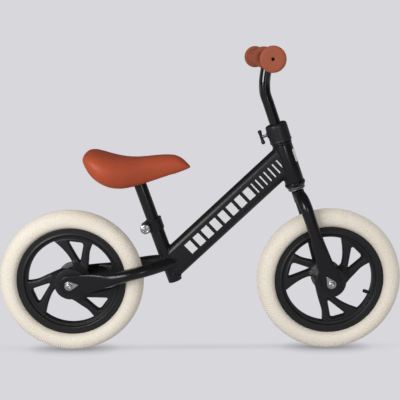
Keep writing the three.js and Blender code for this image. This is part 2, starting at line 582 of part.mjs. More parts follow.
function saddle() {
  const inner = saddleForm(7, 22);
  const cavity = inner.add(inner.translate([0, 0, -10])).add(inner.translate([0, 0, -20]))
    .intersect(block([SADDLE_TAIL + 30, -90, 300], [SADDLE_NOSE - 62, 90, 420]));
  add(bike, 'saddle_pad', saddleForm(0).subtract(cavity), TERRACOTTA_PAD);
  const seatX = SEAT_FOOT[0] - 228 * Math.sin(rad(TILT));
  const boss = leanRod(SEAT_FOOT, POST_R + 4.6, 180, 260);
  const pan = saddleForm(7.4, 22.8)
    .intersect(block([SADDLE_TAIL + 30.4, -90, 363], [SADDLE_NOSE - 62.4, 90, 376]));
  add(bike, 'saddle_base', pan.subtract(boss), MOULDED_BLACK);

  const post = leaning(...SEAT_FOOT);
  const shell = upright(ring(POST_R - 1.6, POST_R, POST_LOW, POST_HIGH - 6, 28));
  add(post, 'seat_post', shell, GLOSS_BLACK);
  const socket = leanRod(SEAT_FOOT, POST_R + 3.6, 213, 236)
    .add(block([seatX - 34, -22, 357.4], [seatX + 34, 22, 361.4]))
    .subtract(leanRod(SEAT_FOOT, POST_R + GAP, 150, 230.5))
    .intersect(block([-400, -60, 200], [0, 60, 370]));
  add(bike, 'saddle_bracket', socket, BEARING_STEEL);
}

wheel('rear', -WHEEL_BASE / 2, REAR_SPOKE_ANGLE);
wheel('front', WHEEL_BASE / 2, FRONT_SPOKE_ANGLE);
frame();
clampLever();
fork();
clampKnob();
handlebar();
saddle();

export default bike;
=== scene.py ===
"""Looks of a child's balance bike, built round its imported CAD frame.

Sizes are in millimetres in the classes and become metres as each mesh is made. +X is the way the
bike rolls, +Y the rider's left, +Z up, and the origin is on the ground midway between the axles.
"""
import json
import logging
import math
from dataclasses import dataclass, field
from enum import Enum
from typing import Optional, Sequence, Union

import bmesh
import bpy
import numpy as np
from mathutils import Matrix, Vector


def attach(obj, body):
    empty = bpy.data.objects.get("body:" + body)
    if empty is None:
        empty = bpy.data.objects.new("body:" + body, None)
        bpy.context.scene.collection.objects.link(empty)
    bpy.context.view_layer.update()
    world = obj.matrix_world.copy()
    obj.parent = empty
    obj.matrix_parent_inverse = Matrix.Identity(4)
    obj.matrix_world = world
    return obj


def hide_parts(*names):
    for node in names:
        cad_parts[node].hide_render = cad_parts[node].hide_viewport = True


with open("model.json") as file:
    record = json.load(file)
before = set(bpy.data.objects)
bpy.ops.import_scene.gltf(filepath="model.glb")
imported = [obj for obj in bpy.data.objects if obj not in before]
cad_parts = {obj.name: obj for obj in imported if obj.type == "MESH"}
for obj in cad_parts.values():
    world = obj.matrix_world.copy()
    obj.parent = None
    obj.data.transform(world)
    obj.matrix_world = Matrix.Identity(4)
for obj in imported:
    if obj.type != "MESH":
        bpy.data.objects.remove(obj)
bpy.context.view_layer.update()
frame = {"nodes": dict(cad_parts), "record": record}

Array = np.ndarray
MM = 0.001
TURN = 2 * math.pi
WHEEL_BASE = 531.4
AXLE_Z = 148.5
TILT = math.radians(19)
RAKE = 3.0
STEER_FOOT = (WHEEL_BASE / 2 - RAKE * math.cos(TILT), AXLE_Z - RAKE * math.sin(TILT))
SEAT_FOOT = (-51.8, 147.0)
SIDES = (("right", -1.0), ("left", 1.0))

log = logging.getLogger("balance_bike")


class Body(Enum):
    """The CAD bodies that pieces ride on."""

    FRAME = "frame"
    SEAT = "seat"
    CLAMP_LEVER = "clamp_lever"
    FORK = "fork"
    CLAMP_SCREW = "clamp_screw"
    HANDLEBAR = "handlebar"
    FRONT_WHEEL = "front_wheel_set"
    REAR_WHEEL = "rear_wheel_set"


class Slot(Enum):
    """The record's material slots."""

    FRAME_PAINT = "frame_paint"
    GLOSS_PAINT = "gloss_paint"
    MOULDED_BLACK = "moulded_black"
    CREAM_TYRE = "cream_tyre"
    TUBE_RUBBER = "tube_rubber"
    SADDLE_COVER = "saddle_cover"
    GRIP_RUBBER = "grip_rubber"
    BRIGHT_STEEL = "bright_steel"
    BEARING_STEEL = "bearing_steel"


# ------------------------------------------------------------------ shader expressions
class Graph:
    """Node tree of one material, with a wrapper for expressions on its sockets."""

    def __init__(self, name: str) -> None:
        """Start an empty material.

        Args:
            name: the material's name.
        """
        self.material = bpy.data.materials.new(name)
        self.material.use_nodes = True
        self.tree = self.material.node_tree
        self.tree.nodes.clear()

    def node(self, kind: str, settings: Optional[dict] = None, sockets: Optional[dict] = None,
             output: Union[int, str] = 0) -> "Value":
        """Add a node.

        Args:
            kind: the node's type.
            settings: properties set first; "stops" holds a ramp's (position, colour) pairs.
            sockets: values or links by input name or number.
            output: the output that the returned value stands for.

        Returns:
            The chosen output as a Value.
        """
        made = self.tree.nodes.new(kind)
        for key, value in (settings or {}).items():
            if key == "stops":
                self._stops(made.color_ramp, value)
            else:
                setattr(made, key, value)
        for key, value in (sockets or {}).items():
            if isinstance(value, Value):
                self.tree.links.new(value.socket, made.inputs[key])
            else:
                made.inputs[key].default_value = value
        return Value(self, made.outputs[output])

    @staticmethod
    def _stops(ramp: bpy.types.ColorRamp, stops: Sequence[tuple]) -> None:
        """Set a ramp's stops from (position, grey or colour) pairs.

        Args:
            ramp: the node's ramp.
            stops: (position, shade) pairs, a shade being a grey or a colour.
        """
        while len(ramp.elements) < len(stops):
            ramp.elements.new(0.5)
        for element, (position, shade) in zip(ramp.elements, stops):
            element.position = position
            element.color = (*shade, 1) if isinstance(shade, tuple) else (shade, shade, shade, 1)

    def place(self) -> "Value":
        """The point on the piece in object coordinates, metres."""
        return self.node("ShaderNodeTexCoord", output="Object")

    def noise(self, scale: float, detail: float = 3.0, roughness: float = 0.55) -> "Value":
        """Noise between 0 and 1 of a scale in waves a metre.

        Args:
            scale: waves a metre.
            detail: how many finer layers it has.
            roughness: strength of the finer layers.

        Returns:
            The noise, between 0 and 1.
        """
        return self.node("ShaderNodeTexNoise", None, {
            "Vector": self.place(), "Scale": scale, "Detail": detail,
            "Roughness": roughness}, "Fac")

    def cells(self, scale: float, feature: str = "F1", vector: Optional["Value"] = None) -> "Value":
        """Distance field of scattered cells."""
        return self.node("ShaderNodeTexVoronoi", {"feature": feature}, {
            "Vector": vector or self.place(), "Scale": scale}, "Distance")

    def ramp(self, value: "Value", *stops: tuple) -> "Value":
        """Value passed through a ramp of stops."""
        return self.node("ShaderNodeValToRGB", {"stops": stops}, {"Fac": value}, "Color")

    def mix(self, factor: Union["Value", float], a: Union["Value", tuple],
            b: Union["Value", tuple]) -> "Value":
        """Colour between a and b."""
        pair = [c if isinstance(c, Value) else (*c, 1) for c in (a, b)]
        return self.node("ShaderNodeMix", {"data_type": "RGBA"}, {0: factor, 6: pair[0], 7: pair[1]}, 2)

    def dot(self, vector: "Value", direction: Sequence[float]) -> "Value":
        """Distance of a point along a direction."""
        return self.node("ShaderNodeVectorMath", {"operation": "DOT_PRODUCT"},
                         {0: vector, 1: tuple(direction)}, "Value")

    def bump(self, height: "Value", distance: float, strength: float = 1.0,
             under: Optional["Value"] = None) -> "Value":
        """Normal from a height between 0 and 1.

        Args:
            height: the relief.
            distance: its depth in metres.
            strength: how much of it shows.
            under: a normal that it lies on.

        Returns:
            The normal.
        """
        sockets = {"Height": height, "Distance": distance, "Strength": strength}
        if under is not None:
            sockets["Normal"] = under
        return self.node("ShaderNodeBump", None, sockets, "Normal")

    def surface(self, **sockets: Union["Value", float, tuple]) -> bpy.types.Material:
        """Finish the material with a principled shader.

        Args:
            sockets: its inputs, with underscores for blanks.

        Returns:
            The material.
        """
        named = {key.replace("_", " "): value for key, value in sockets.items()}
        for key, value in named.items():
            if isinstance(value, tuple) and len(value) == 3:
                named[key] = (*value, 1)
        shader = self.node("ShaderNodeBsdfPrincipled", None, named)
        self.node_output(shader)
        return self.material

    def node_output(self, shader: "Value") -> None:
        """Link a shader to the material's output."""
        out = self.tree.nodes.new("ShaderNodeOutputMaterial")
        self.tree.links.new(shader.socket, out.inputs["Surface"])


@dataclass
class Value:
    """A socket that arithmetic can be written on."""

    graph: Graph
    socket: bpy.types.NodeSocket

    def math(self, operation: str, other: Union["Value", float] = 0.0, swap: bool = False) -> "Value":
        """A Math node on this value and another."""
        pair = {0: other, 1: self} if swap else {0: self, 1: other}
        return self.graph.node("ShaderNodeMath", {"operation": operation}, pair)

    def __add__(self, other: Union["Value", float]) -> "Value":
        """Sum."""
        return self.math("ADD", other)

    __radd__ = __add__

    def __sub__(self, other: Union["Value", float]) -> "Value":
        """Difference."""
        return self.math("SUBTRACT", other)

    def __rsub__(self, other: float) -> "Value":
        """Difference from a number."""
        return self.math("SUBTRACT", other, swap=True)

    def __mul__(self, other: Union["Value", float]) -> "Value":
        """Product."""
        return self.math("MULTIPLY", other)

    __rmul__ = __mul__

    def __truediv__(self, other: float) -> "Value":
        """Quotient."""
        return self.math("DIVIDE", other)

    def below(self, limit: Union["Value", float]) -> "Value":
        """1 where this is less than a limit."""
        return self.math("LESS_THAN", limit)

    def above(self, limit: Union["Value", float]) -> "Value":
        """1 where this is more than a limit."""
        return self.math("GREATER_THAN", limit)

    def size(self) -> "Value":
        """Absolute value."""
        return self.math("ABSOLUTE")

    def rest(self, step: float) -> "Value":
        """Remainder on division, never negative."""
        return self.math("FLOORED_MODULO", step)

    def hill(self, spread: float) -> "Value":
        """Soft hill exp(-(value / spread)^2)."""
        share = self / spread
        return (share * share * -1.0).math("EXPONENT")


# ------------------------------------------------------------------ finishes
@dataclass(frozen=True)
class Paint:
    """Black paint with orange peel, faint dust and uneven gloss."""

    name: str
    colour: tuple = (0.006, 0.006, 0.0072)
    roughness: float = 0.27
    coat: float = 0.2
    peel: float = 0.00003

    def ground(self, graph: Graph) -> dict:
        """Sockets of the paint, before anything is printed on it.

        Args:
            graph: the tree that the sockets belong to.

        Returns:
            Values by the shader's input names.
        """
        cloud = graph.noise(9.0, 4.0)
        peel = graph.noise(420.0, 2.0)
        dust = graph.ramp(graph.noise(1400.0, 2.0, 0.7), (0.62, 0.0), (0.74, 1.0))
        pale = tuple(c * 1.8 for c in self.colour)
        return {
            "Base_Color": graph.mix(dust * 0.12 + cloud * 0.22, self.colour, pale),
            "Roughness": self.roughness + (cloud - 0.5) * 0.1 + dust * 0.04,
            "Normal": graph.bump(peel, self.peel, 0.3),
            "Coat_Weight": self.coat,
            "Coat_Roughness": self.roughness * 0.5,
            "Specular_IOR_Level": 0.5,
        }

    def material(self) -> bpy.types.Material:
        """The paint's material."""
        graph = Graph(self.name)
        return graph.surface(**self.ground(graph))


@dataclass(frozen=True)
class PrintedPaint(Paint):
    """Beam paint with a plain printed band: a row of blocks, then thin bars, on its flat sides."""

    middle: tuple = (-39.0, 202.0)
    slope: float = math.radians(43.1)
    band: tuple = (20.0, 318.0)
    pitch: float = 23.0
    blocks: int = 8
    half_height: float = 12.0
    ink: tuple = (0.72, 0.72, 0.74)

    def material(self) -> bpy.types.Material:
        """The printed paint's material.

        Returns:
            The material.
        """
        graph = Graph(self.name)
        sockets = self.ground(graph)
        place = graph.place()
        along_axis = (math.cos(self.slope), 0.0, math.sin(self.slope))
        up_axis = (-math.sin(self.slope), 0.0, math.cos(self.slope))
        origin = (self.middle[0] * MM, 0.0, self.middle[1] * MM)
        along = (graph.dot(place, along_axis) - float(np.dot(origin, along_axis))) / MM
        up = (graph.dot(place, up_axis) - float(np.dot(origin, up_axis))) / MM
        start, end = self.band
        change = start + self.blocks * self.pitch
        in_band = up.size().below(self.half_height) * along.above(start)
        blocks = (along - start).rest(self.pitch).below(0.68 * self.pitch) * along.below(change)
        bars = (along - change).rest(self.pitch / 2).below(2.7) * along.above(change) * along.below(end)
        flat = graph.dot(place, (0.0, 1.0, 0.0)).size().above(0.0125)
        mask = in_band * (blocks + bars) * flat
        sockets["Base_Color"] = graph.mix(mask, sockets["Base_Color"], self.ink)
        sockets["Roughness"] = sockets["Roughness"] * (1.0 - mask) + mask * 0.48
        return graph.surface(**sockets)


@dataclass(frozen=True)
class Moulding:
    """Moulded plastic with a fine spark-eroded grain."""

    name: str
    colour: tuple = (0.0085, 0.0085, 0.0095)
    roughness: float = 0.4
    grain: float = 900.0

    def material(self) -> bpy.types.Material:
        """The moulding's material.

        Returns:
            The material.
        """
        graph = Graph(self.name)
        cloud = graph.noise(14.0, 4.0)
        grain = graph.noise(self.grain, 3.0, 0.7)
        pits = graph.cells(self.grain * 0.8)
        pale = tuple(c * 2.4 for c in self.colour)
        return graph.surface(
            Base_Color=graph.mix(cloud * 0.3 + grain * 0.25, self.colour, pale),
            Roughness=self.roughness + (cloud - 0.5) * 0.14 + (grain - 0.5) * 0.1,
            Normal=graph.bump(pits * 0.6 + grain * 0.5, 0.00007, 0.5),
            Specular_IOR_Level=0.5,
        )


@dataclass(frozen=True)
class Rubber:
    """Soft rubber with a faint mottle and a dry, grained skin."""

    name: str
    colour: tuple
    second: tuple
    roughness: float = 0.68
    grain: float = 700.0
    depth: float = 0.0001
    lump: float = 0.0

    def material(self) -> bpy.types.Material:
        """The rubber's material.

        Returns:
            The material.
        """
        graph = Graph(self.name)
        cloud = graph.ramp(graph.noise(17.0, 5.0, 0.6), (0.3, 0.0), (0.72, 1.0))
        fine = graph.noise(self.grain, 3.0, 0.65)
        specks = graph.ramp(graph.noise(330.0, 3.0, 0.6), (0.6, 0.0), (0.8, 1.0))
        return graph.surface(
            Base_Color=graph.mix(cloud * 0.5 + fine * 0.2 + specks * 0.35, self.colour, self.second),
            Roughness=self.roughness + (fine - 0.5) * 0.16 + (cloud - 0.5) * 0.06,
            Normal=graph.bump(fine, self.depth, 0.5, graph.bump(graph.noise(230.0, 3.0, 0.6), self.lump)),
            Specular_IOR_Level=0.35,
        )


@dataclass(frozen=True)
class MouldedSkin:
    """Terracotta saddle skin: a fine leather grain of cells and creases, with a soft sheen."""

    name: str
    colour: tuple = (0.49, 0.078, 0.022)
    deep: tuple = (0.38, 0.060, 0.020)
    roughness: float = 0.46

    def material(self) -> bpy.types.Material:
        """The skin's material.

        Returns:
            The material.
        """
        graph = Graph(self.name)
        cloud = graph.ramp(graph.noise(11.0, 4.0, 0.55), (0.32, 0.0), (0.7, 1.0))
        drift = graph.node("ShaderNodeTexNoise", None, {
            "Vector": graph.place(), "Scale": 240.0, "Detail": 2.0}, "Color")
        bent = graph.node("ShaderNodeMix", {"data_type": "VECTOR"}, {
            0: 0.0016, 4: graph.place(), 5: drift}, 1)
        crease = graph.cells(620.0, "DISTANCE_TO_EDGE", bent)
        pebble = graph.ramp(crease, (0.0, 0.0), (0.22, 1.0))
        fine = graph.noise(1700.0, 2.0, 0.6)
        normal = graph.bump(pebble, 0.00012, 0.35)
        return graph.surface(
            Base_Color=graph.mix(cloud * 0.55 + (1.0 - pebble) * 0.3, self.colour, self.deep),
            Roughness=self.roughness + (cloud - 0.5) * 0.1 + (1.0 - pebble) * 0.08,
            Normal=graph.bump(fine, 0.00003, 0.4, normal),
            Specular_IOR_Level=0.42,
        )


@dataclass(frozen=True)
class Steel:
    """Bare or plated steel with fine scratches and small smudges."""

    name: str
    colour: tuple = (0.9, 0.9, 0.91)
    roughness: float = 0.3
    marks: float = 0.00002

    def material(self) -> bpy.types.Material:
        """The steel's material.

        Returns:
            The material.
        """
        graph = Graph(self.name)
        cloud = graph.noise(60.0, 4.0)
        scratch = graph.noise(2400.0, 2.0, 0.5)
        dull = tuple(c * 0.72 for c in self.colour)
        return graph.surface(
            Base_Color=graph.mix(cloud * 0.5, self.colour, dull),
            Metallic=1.0,
            Roughness=self.roughness + (cloud - 0.5) * 0.12 + (scratch - 0.5) * 0.08,
            Normal=graph.bump(scratch, self.marks, 0.4),
        )


@dataclass(frozen=True)
class Label:
    """Blank glossy sticker."""

    name: str
    colour: tuple = (0.8, 0.8, 0.81)

    def material(self) -> bpy.types.Material:
        """The sticker's material.

        Returns:
            The material.
        """
        graph = Graph(self.name)
        cloud = graph.noise(90.0, 3.0)
        grey = tuple(c * 0.86 for c in self.colour)
        return graph.surface(
            Base_Color=graph.mix(cloud, self.colour, grey),
            Roughness=0.3 + (cloud - 0.5) * 0.1,
            Normal=graph.bump(cloud, 0.00002, 0.3),
        )


class Finishes:
    """Every material of the bike, made once."""

    def __init__(self) -> None:
        """Make the materials."""
        self.frame = Paint("satin_frame_paint").material()
        self.beam = PrintedPaint("printed_beam_paint", roughness=0.4).material()
        self.gloss = Paint("gloss_tube_paint", (0.004, 0.004, 0.005), 0.12, 0.8, 0.000012).material()
        self.moulded = Moulding("moulded_nylon").material()
        self.cover = Moulding("clamp_cover_nylon", (0.009, 0.009, 0.01), 0.36, 700.0).material()
        self.tyre = Rubber("cream_tyre_rubber", (0.88, 0.82, 0.70), (0.79, 0.71, 0.58), 0.75,
                           lump=0.0009).material()
        self.tube = Rubber("black_tube_rubber", (0.012, 0.012, 0.012), (0.022, 0.022, 0.022)).material()
        self.grip = Rubber("terracotta_grip_rubber", (0.37, 0.088, 0.037), (0.29, 0.062, 0.026),
                           0.55, 520.0, 0.00016).material()
        # Lighter grey for the rings on the hubs' inner faces: painted light, standing in for light that falls
        # on those faces.
        self.grey = Moulding("hub_face_painted_light_grey", (0.11, 0.11, 0.115), 0.5).material()
        self.skin = MouldedSkin("terracotta_saddle_skin").material()
        self.bright = Steel("plated_steel").material()
        self.bearing = Steel("turned_steel", (0.5, 0.5, 0.51), 0.32).material()
        self.label = Label("blank_label").material()


# ------------------------------------------------------------------ surfaces
def smooth_through(knots: Sequence[float], values: Array, at: Array) -> Array:
    """Cubic through values at knots, its slope at each knot taken from the neighbours.

    Args:
        knots: rising places.
        values: one value or one row for each knot.
        at: places to read.

    Returns:
        One value or row for each place.
    """
    knots, values = np.asarray(knots, float), np.asarray(values, float)
    slope = np.gradient(values, knots, axis=0)
    at = np.clip(at, knots[0], knots[-1])
    i = np.clip(np.searchsorted(knots, at, side="right") - 1, 0, len(knots) - 2)
    step = knots[i + 1] - knots[i]
    t = (at - knots[i]) / step
    if values.ndim > 1:
        step, t = step[:, None], t[:, None]
    ends = (1 + 2 * t) * (1 - t) ** 2 * values[i] + t * t * (3 - 2 * t) * values[i + 1]
    return ends + step * (t * (1 - t) ** 2 * slope[i] + t * t * (t - 1) * slope[i + 1])


def path_through(points: Sequence[Sequence[float]], count: int) -> Array:
    """Evenly spaced points on a smooth curve: a cubic over chord length, read at equal arc length.

    Args:
        points: points that the curve passes, in 2-D or 3-D.
        count: how many points come back.

    Returns:
        (count, 2) or (count, 3) points.
    """
    points = np.asarray(points, float)
    chord = np.linalg.norm(np.diff(points, axis=0), axis=1)
    reach = np.concatenate([[0], np.cumsum(chord)])
    fine = smooth_through(reach, points, np.linspace(0, reach[-1], 12 * count))
    length = np.concatenate([[0], np.cumsum(np.linalg.norm(np.diff(fine, axis=0), axis=1))])
    at = np.linspace(0, length[-1], count)
    return np.stack([np.interp(at, length, fine[:, k]) for k in range(fine.shape[1])], -1)


def rounded(corners: Sequence[Sequence[float]], radius: Union[float, Sequence[float]],
            steps: int = 5) -> Array:
    """Closed outline with each corner cut by a quadratic arc: (1-t)^2 a + 2t(1-t) corner + t^2 b.

    Args:
        corners: the outline's corners.
        radius: how far from each corner its arc starts.
        steps: points on each arc.

    Returns:
        (corners times steps, 2) points.
    """
    corners = np.asarray(corners, float)
    back, on = np.roll(corners, 1, 0) - corners, np.roll(corners, -1, 0) - corners
    back_length, on_length = np.linalg.norm(back, axis=1), np.linalg.norm(on, axis=1)
    cut = np.minimum(np.broadcast_to(radius, len(corners)), 0.45 * np.minimum(back_length, on_length))
    cut = np.where(np.abs(corners[:, 0]) < 1e-9, 0, cut)
    a = corners + back * (cut / back_length)[:, None]
    b = corners + on * (cut / on_length)[:, None]
    t = np.linspace(0, 1, steps)[None, :, None]
    arcs = (1 - t) ** 2 * a[:, None] + 2 * t * (1 - t) * corners[:, None] + t * t * b[:, None]
    return arcs.reshape(-1, 2)


def turned(profile: Array, steps: int = 96) -> Array:
    """Grid of a profile of (radius, height) turned about Z: (r cos a, r sin a, h).

    Args:
        profile: (radius, height) rows.
        steps: turns of the profile in a full circle.

    Returns:
        (steps, rows, 3) points.
    """
    angle = np.arange(steps)[:, None] * TURN / steps
    radius, height = profile[None, :, 0], profile[None, :, 1]
    return np.stack([radius * np.cos(angle), radius * np.sin(angle),
                     np.broadcast_to(height, (steps, profile.shape[0]))], -1)


def on_axle(points: Array) -> Array:
    """Points with their Z axis laid along +Y, X kept."""
    return np.stack([points[..., 0], points[..., 2], -points[..., 1]], -1)


def spun(points: Array, degrees: float) -> Array:
    """Points turned about Y, from +X towards +Z.

    Args:
        points: any array of points.
        degrees: how far they turn.

    Returns:
        The turned points.
    """
    c, s = math.cos(math.radians(degrees)), math.sin(math.radians(degrees))
    x, y, z = np.moveaxis(points, -1, 0)
    return np.stack([c * x - s * z, y, s * x + c * z], -1)


def spin_about_z(points: Array, degrees: float) -> Array:
    """Points turned about Z, from +X towards +Y.

    Args:
        points: any array of points.
        degrees: how far they turn.

    Returns:
        The turned points.
    """
    c, s = math.cos(math.radians(degrees)), math.sin(math.radians(degrees))
    x, y, z = np.moveaxis(points, -1, 0)
    return np.stack([c * x - s * y, s * x + c * y, z], -1)


def leaned(points: Array, foot: Sequence[float]) -> Array:
    """Points of a leaning tube's own axes moved out: turned back by the frame's tilt about its foot."""
    return spun(points, math.degrees(TILT)) + np.array([foot[0], 0, foot[1]])


def swept(path: Array, side: Sequence[float], section: Array) -> Array:
    """Grid of sections carried along a path: point + a u + b v.

    Args:
        path: the middle line, (rows, 3).
        side: direction of each section's first axis, made square to the path.
        section: (rows, columns, 2) or (columns, 2) values a and b.

    Returns:
        (rows, columns, 3) points.
    """
    tangent = np.gradient(path, axis=0)
    tangent /= np.linalg.norm(tangent, axis=1, keepdims=True)
    u = np.asarray(side, float) - tangent * (tangent @ np.asarray(side, float))[:, None]
    u /= np.linalg.norm(u, axis=1, keepdims=True)
    v = np.cross(tangent, u)
    section = np.broadcast_to(section, (len(path), *section.shape[-2:]))
    return path[:, None] + section[..., :1] * u[:, None] + section[..., 1:] * v[:, None]


def oval(a: Union[float, Array], b: Union[float, Array], power: Union[float, Array] = 2.0,
         count: int = 40) -> Array:
    """Superellipse section: a |cos|^(2/p), b |sin|^(2/p) with their signs, one for each a.

    Args:
        a: half size along the first axis.
        b: half size along the second axis.
        power: 2 for an ellipse, more for squarer corners.
        count: points round each section.

    Returns:
        (sections, count, 2) points.
    """
    a, b, power = (np.atleast_1d(np.asarray(x, float))[:, None] for x in (a, b, power))
    angle = np.arange(count)[None] * TURN / count
    c, s = np.cos(angle), np.sin(angle)
    return np.stack([a * np.sign(c) * np.abs(c) ** (2 / power),
                     b * np.sign(s) * np.abs(s) ** (2 / power)], -1)


def ease(x: Array, low: float, high: float) -> Array:
    """0 below low, 1 above high, 3t^2 - 2t^3 between them."""
    t = np.clip((np.asarray(x, float) - low) / (high - low), 0, 1)
    return t * t * (3 - 2 * t)


@dataclass
class Shell:
    """Closed surfaces gathered into one mesh."""

    points: list = field(default_factory=list)
    faces: list = field(default_factory=list)
    count: int = 0

    def grid(self, points: Array, rows: bool = False, columns: bool = True,
             ends: bool = False) -> "Shell":
        """Add a grid of points.

        Args:
            points: (rows, columns, 3), in millimetres.
            rows: True if the last row joins the first.
            columns: True if the last column joins the first.
            ends: True to close the first and the last row with a fan.

        Returns:
            The shell, so that calls can follow each other.
        """
        r, c = points.shape[:2]
        index = self.count + np.arange(r * c).reshape(r, c)
        self._take(points.reshape(-1, 3))
        if columns:
            index = np.hstack([index, index[:, :1]])
        if rows:
            index = np.vstack([index, index[:1]])
        quads = np.stack([index[:-1, :-1], index[1:, :-1], index[1:, 1:], index[:-1, 1:]], -1)
        self.faces += quads.reshape(-1, 4).tolist()
        if ends:
            for row in (0, -1):
                ring = index[row]
                self.faces += np.stack([ring[:-1], ring[1:], np.full(len(ring) - 1, self.count)],
                                       -1).tolist()
                self._take(points[row].mean(0)[None])
        return self

    def _take(self, points: Array) -> None:
        """Keep points and count them."""
        self.points.append(points)
        self.count += len(points)

    def lathe(self, profile: Array, place: "Placing", steps: int = 96) -> "Shell":
        """Add a turned profile, closed on itself or ending on its axis at both ends."""
        open_profile = abs(profile[0, 0]) < 1e-9
        return self.grid(place(turned(profile, steps)), rows=True, columns=not open_profile)

    def piece(self, name: str, body: Body, slot: Slot, material: bpy.types.Material,
              stands_for: Sequence[str] = (), crease: float = 34.0) -> bpy.types.Object:
        """Make the mesh's object, and let it ride on a body.

        Args:
            name: the piece's name.
            body: the body that it rides on.
            slot: the record's material slot.
            material: its finish.
            stands_for: CAD nodes that it replaces.
            crease: edges sharper than this many degrees stay sharp.

        Returns:
            The object.
        """
        mesh = bpy.data.meshes.new(name)
        mesh.from_pydata((np.concatenate(self.points) * MM).tolist(), [], self.faces)
        work = bmesh.new()
        work.from_mesh(mesh)
        bmesh.ops.remove_doubles(work, verts=work.verts, dist=2e-6)
        bmesh.ops.dissolve_degenerate(work, edges=work.edges, dist=1e-7)
        bmesh.ops.recalc_face_normals(work, faces=work.faces)
        work.to_mesh(mesh)
        work.free()
        mesh.shade_smooth()
        mesh.set_sharp_from_angle(angle=math.radians(crease))
        mesh.materials.append(material)
        obj = bpy.data.objects.new(name, mesh)
        bpy.context.scene.collection.objects.link(obj)
        if stands_for:
            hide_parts(*stands_for)
        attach(obj, body.value)
        log.info("%s: %d faces on %s", name, len(mesh.polygons), body.value)
        return obj


@dataclass(frozen=True)
class Placing:
    """Where a turned shape stands: upright on a leaning tube, or along an axle."""

    foot: tuple
    axle: bool = False

    def __call__(self, points: Array) -> Array:
        """Move points from their own axes into the bike's.

        Args:
            points: points in the shape's own axes, its axis along Z.

        Returns:
            The points in the bike's axes.
        """
        if self.axle:
            return on_axle(points) + np.array([self.foot[0], 0, self.foot[1]])
        return leaned(points, self.foot)


def ring_profile(r_in: float, r_out: float, low: float, high: float, edge: float = 0.5) -> Array:
    """Profile of a plain ring with eased edges."""
    return rounded([(r_in, low), (r_out, low), (r_out, high), (r_in, high)], edge, 4)


def across_y(points: Array, sign: float) -> Array:
    """Points of the left side, or their mirror image for the right."""
    return points * np.array([1, sign, 1])


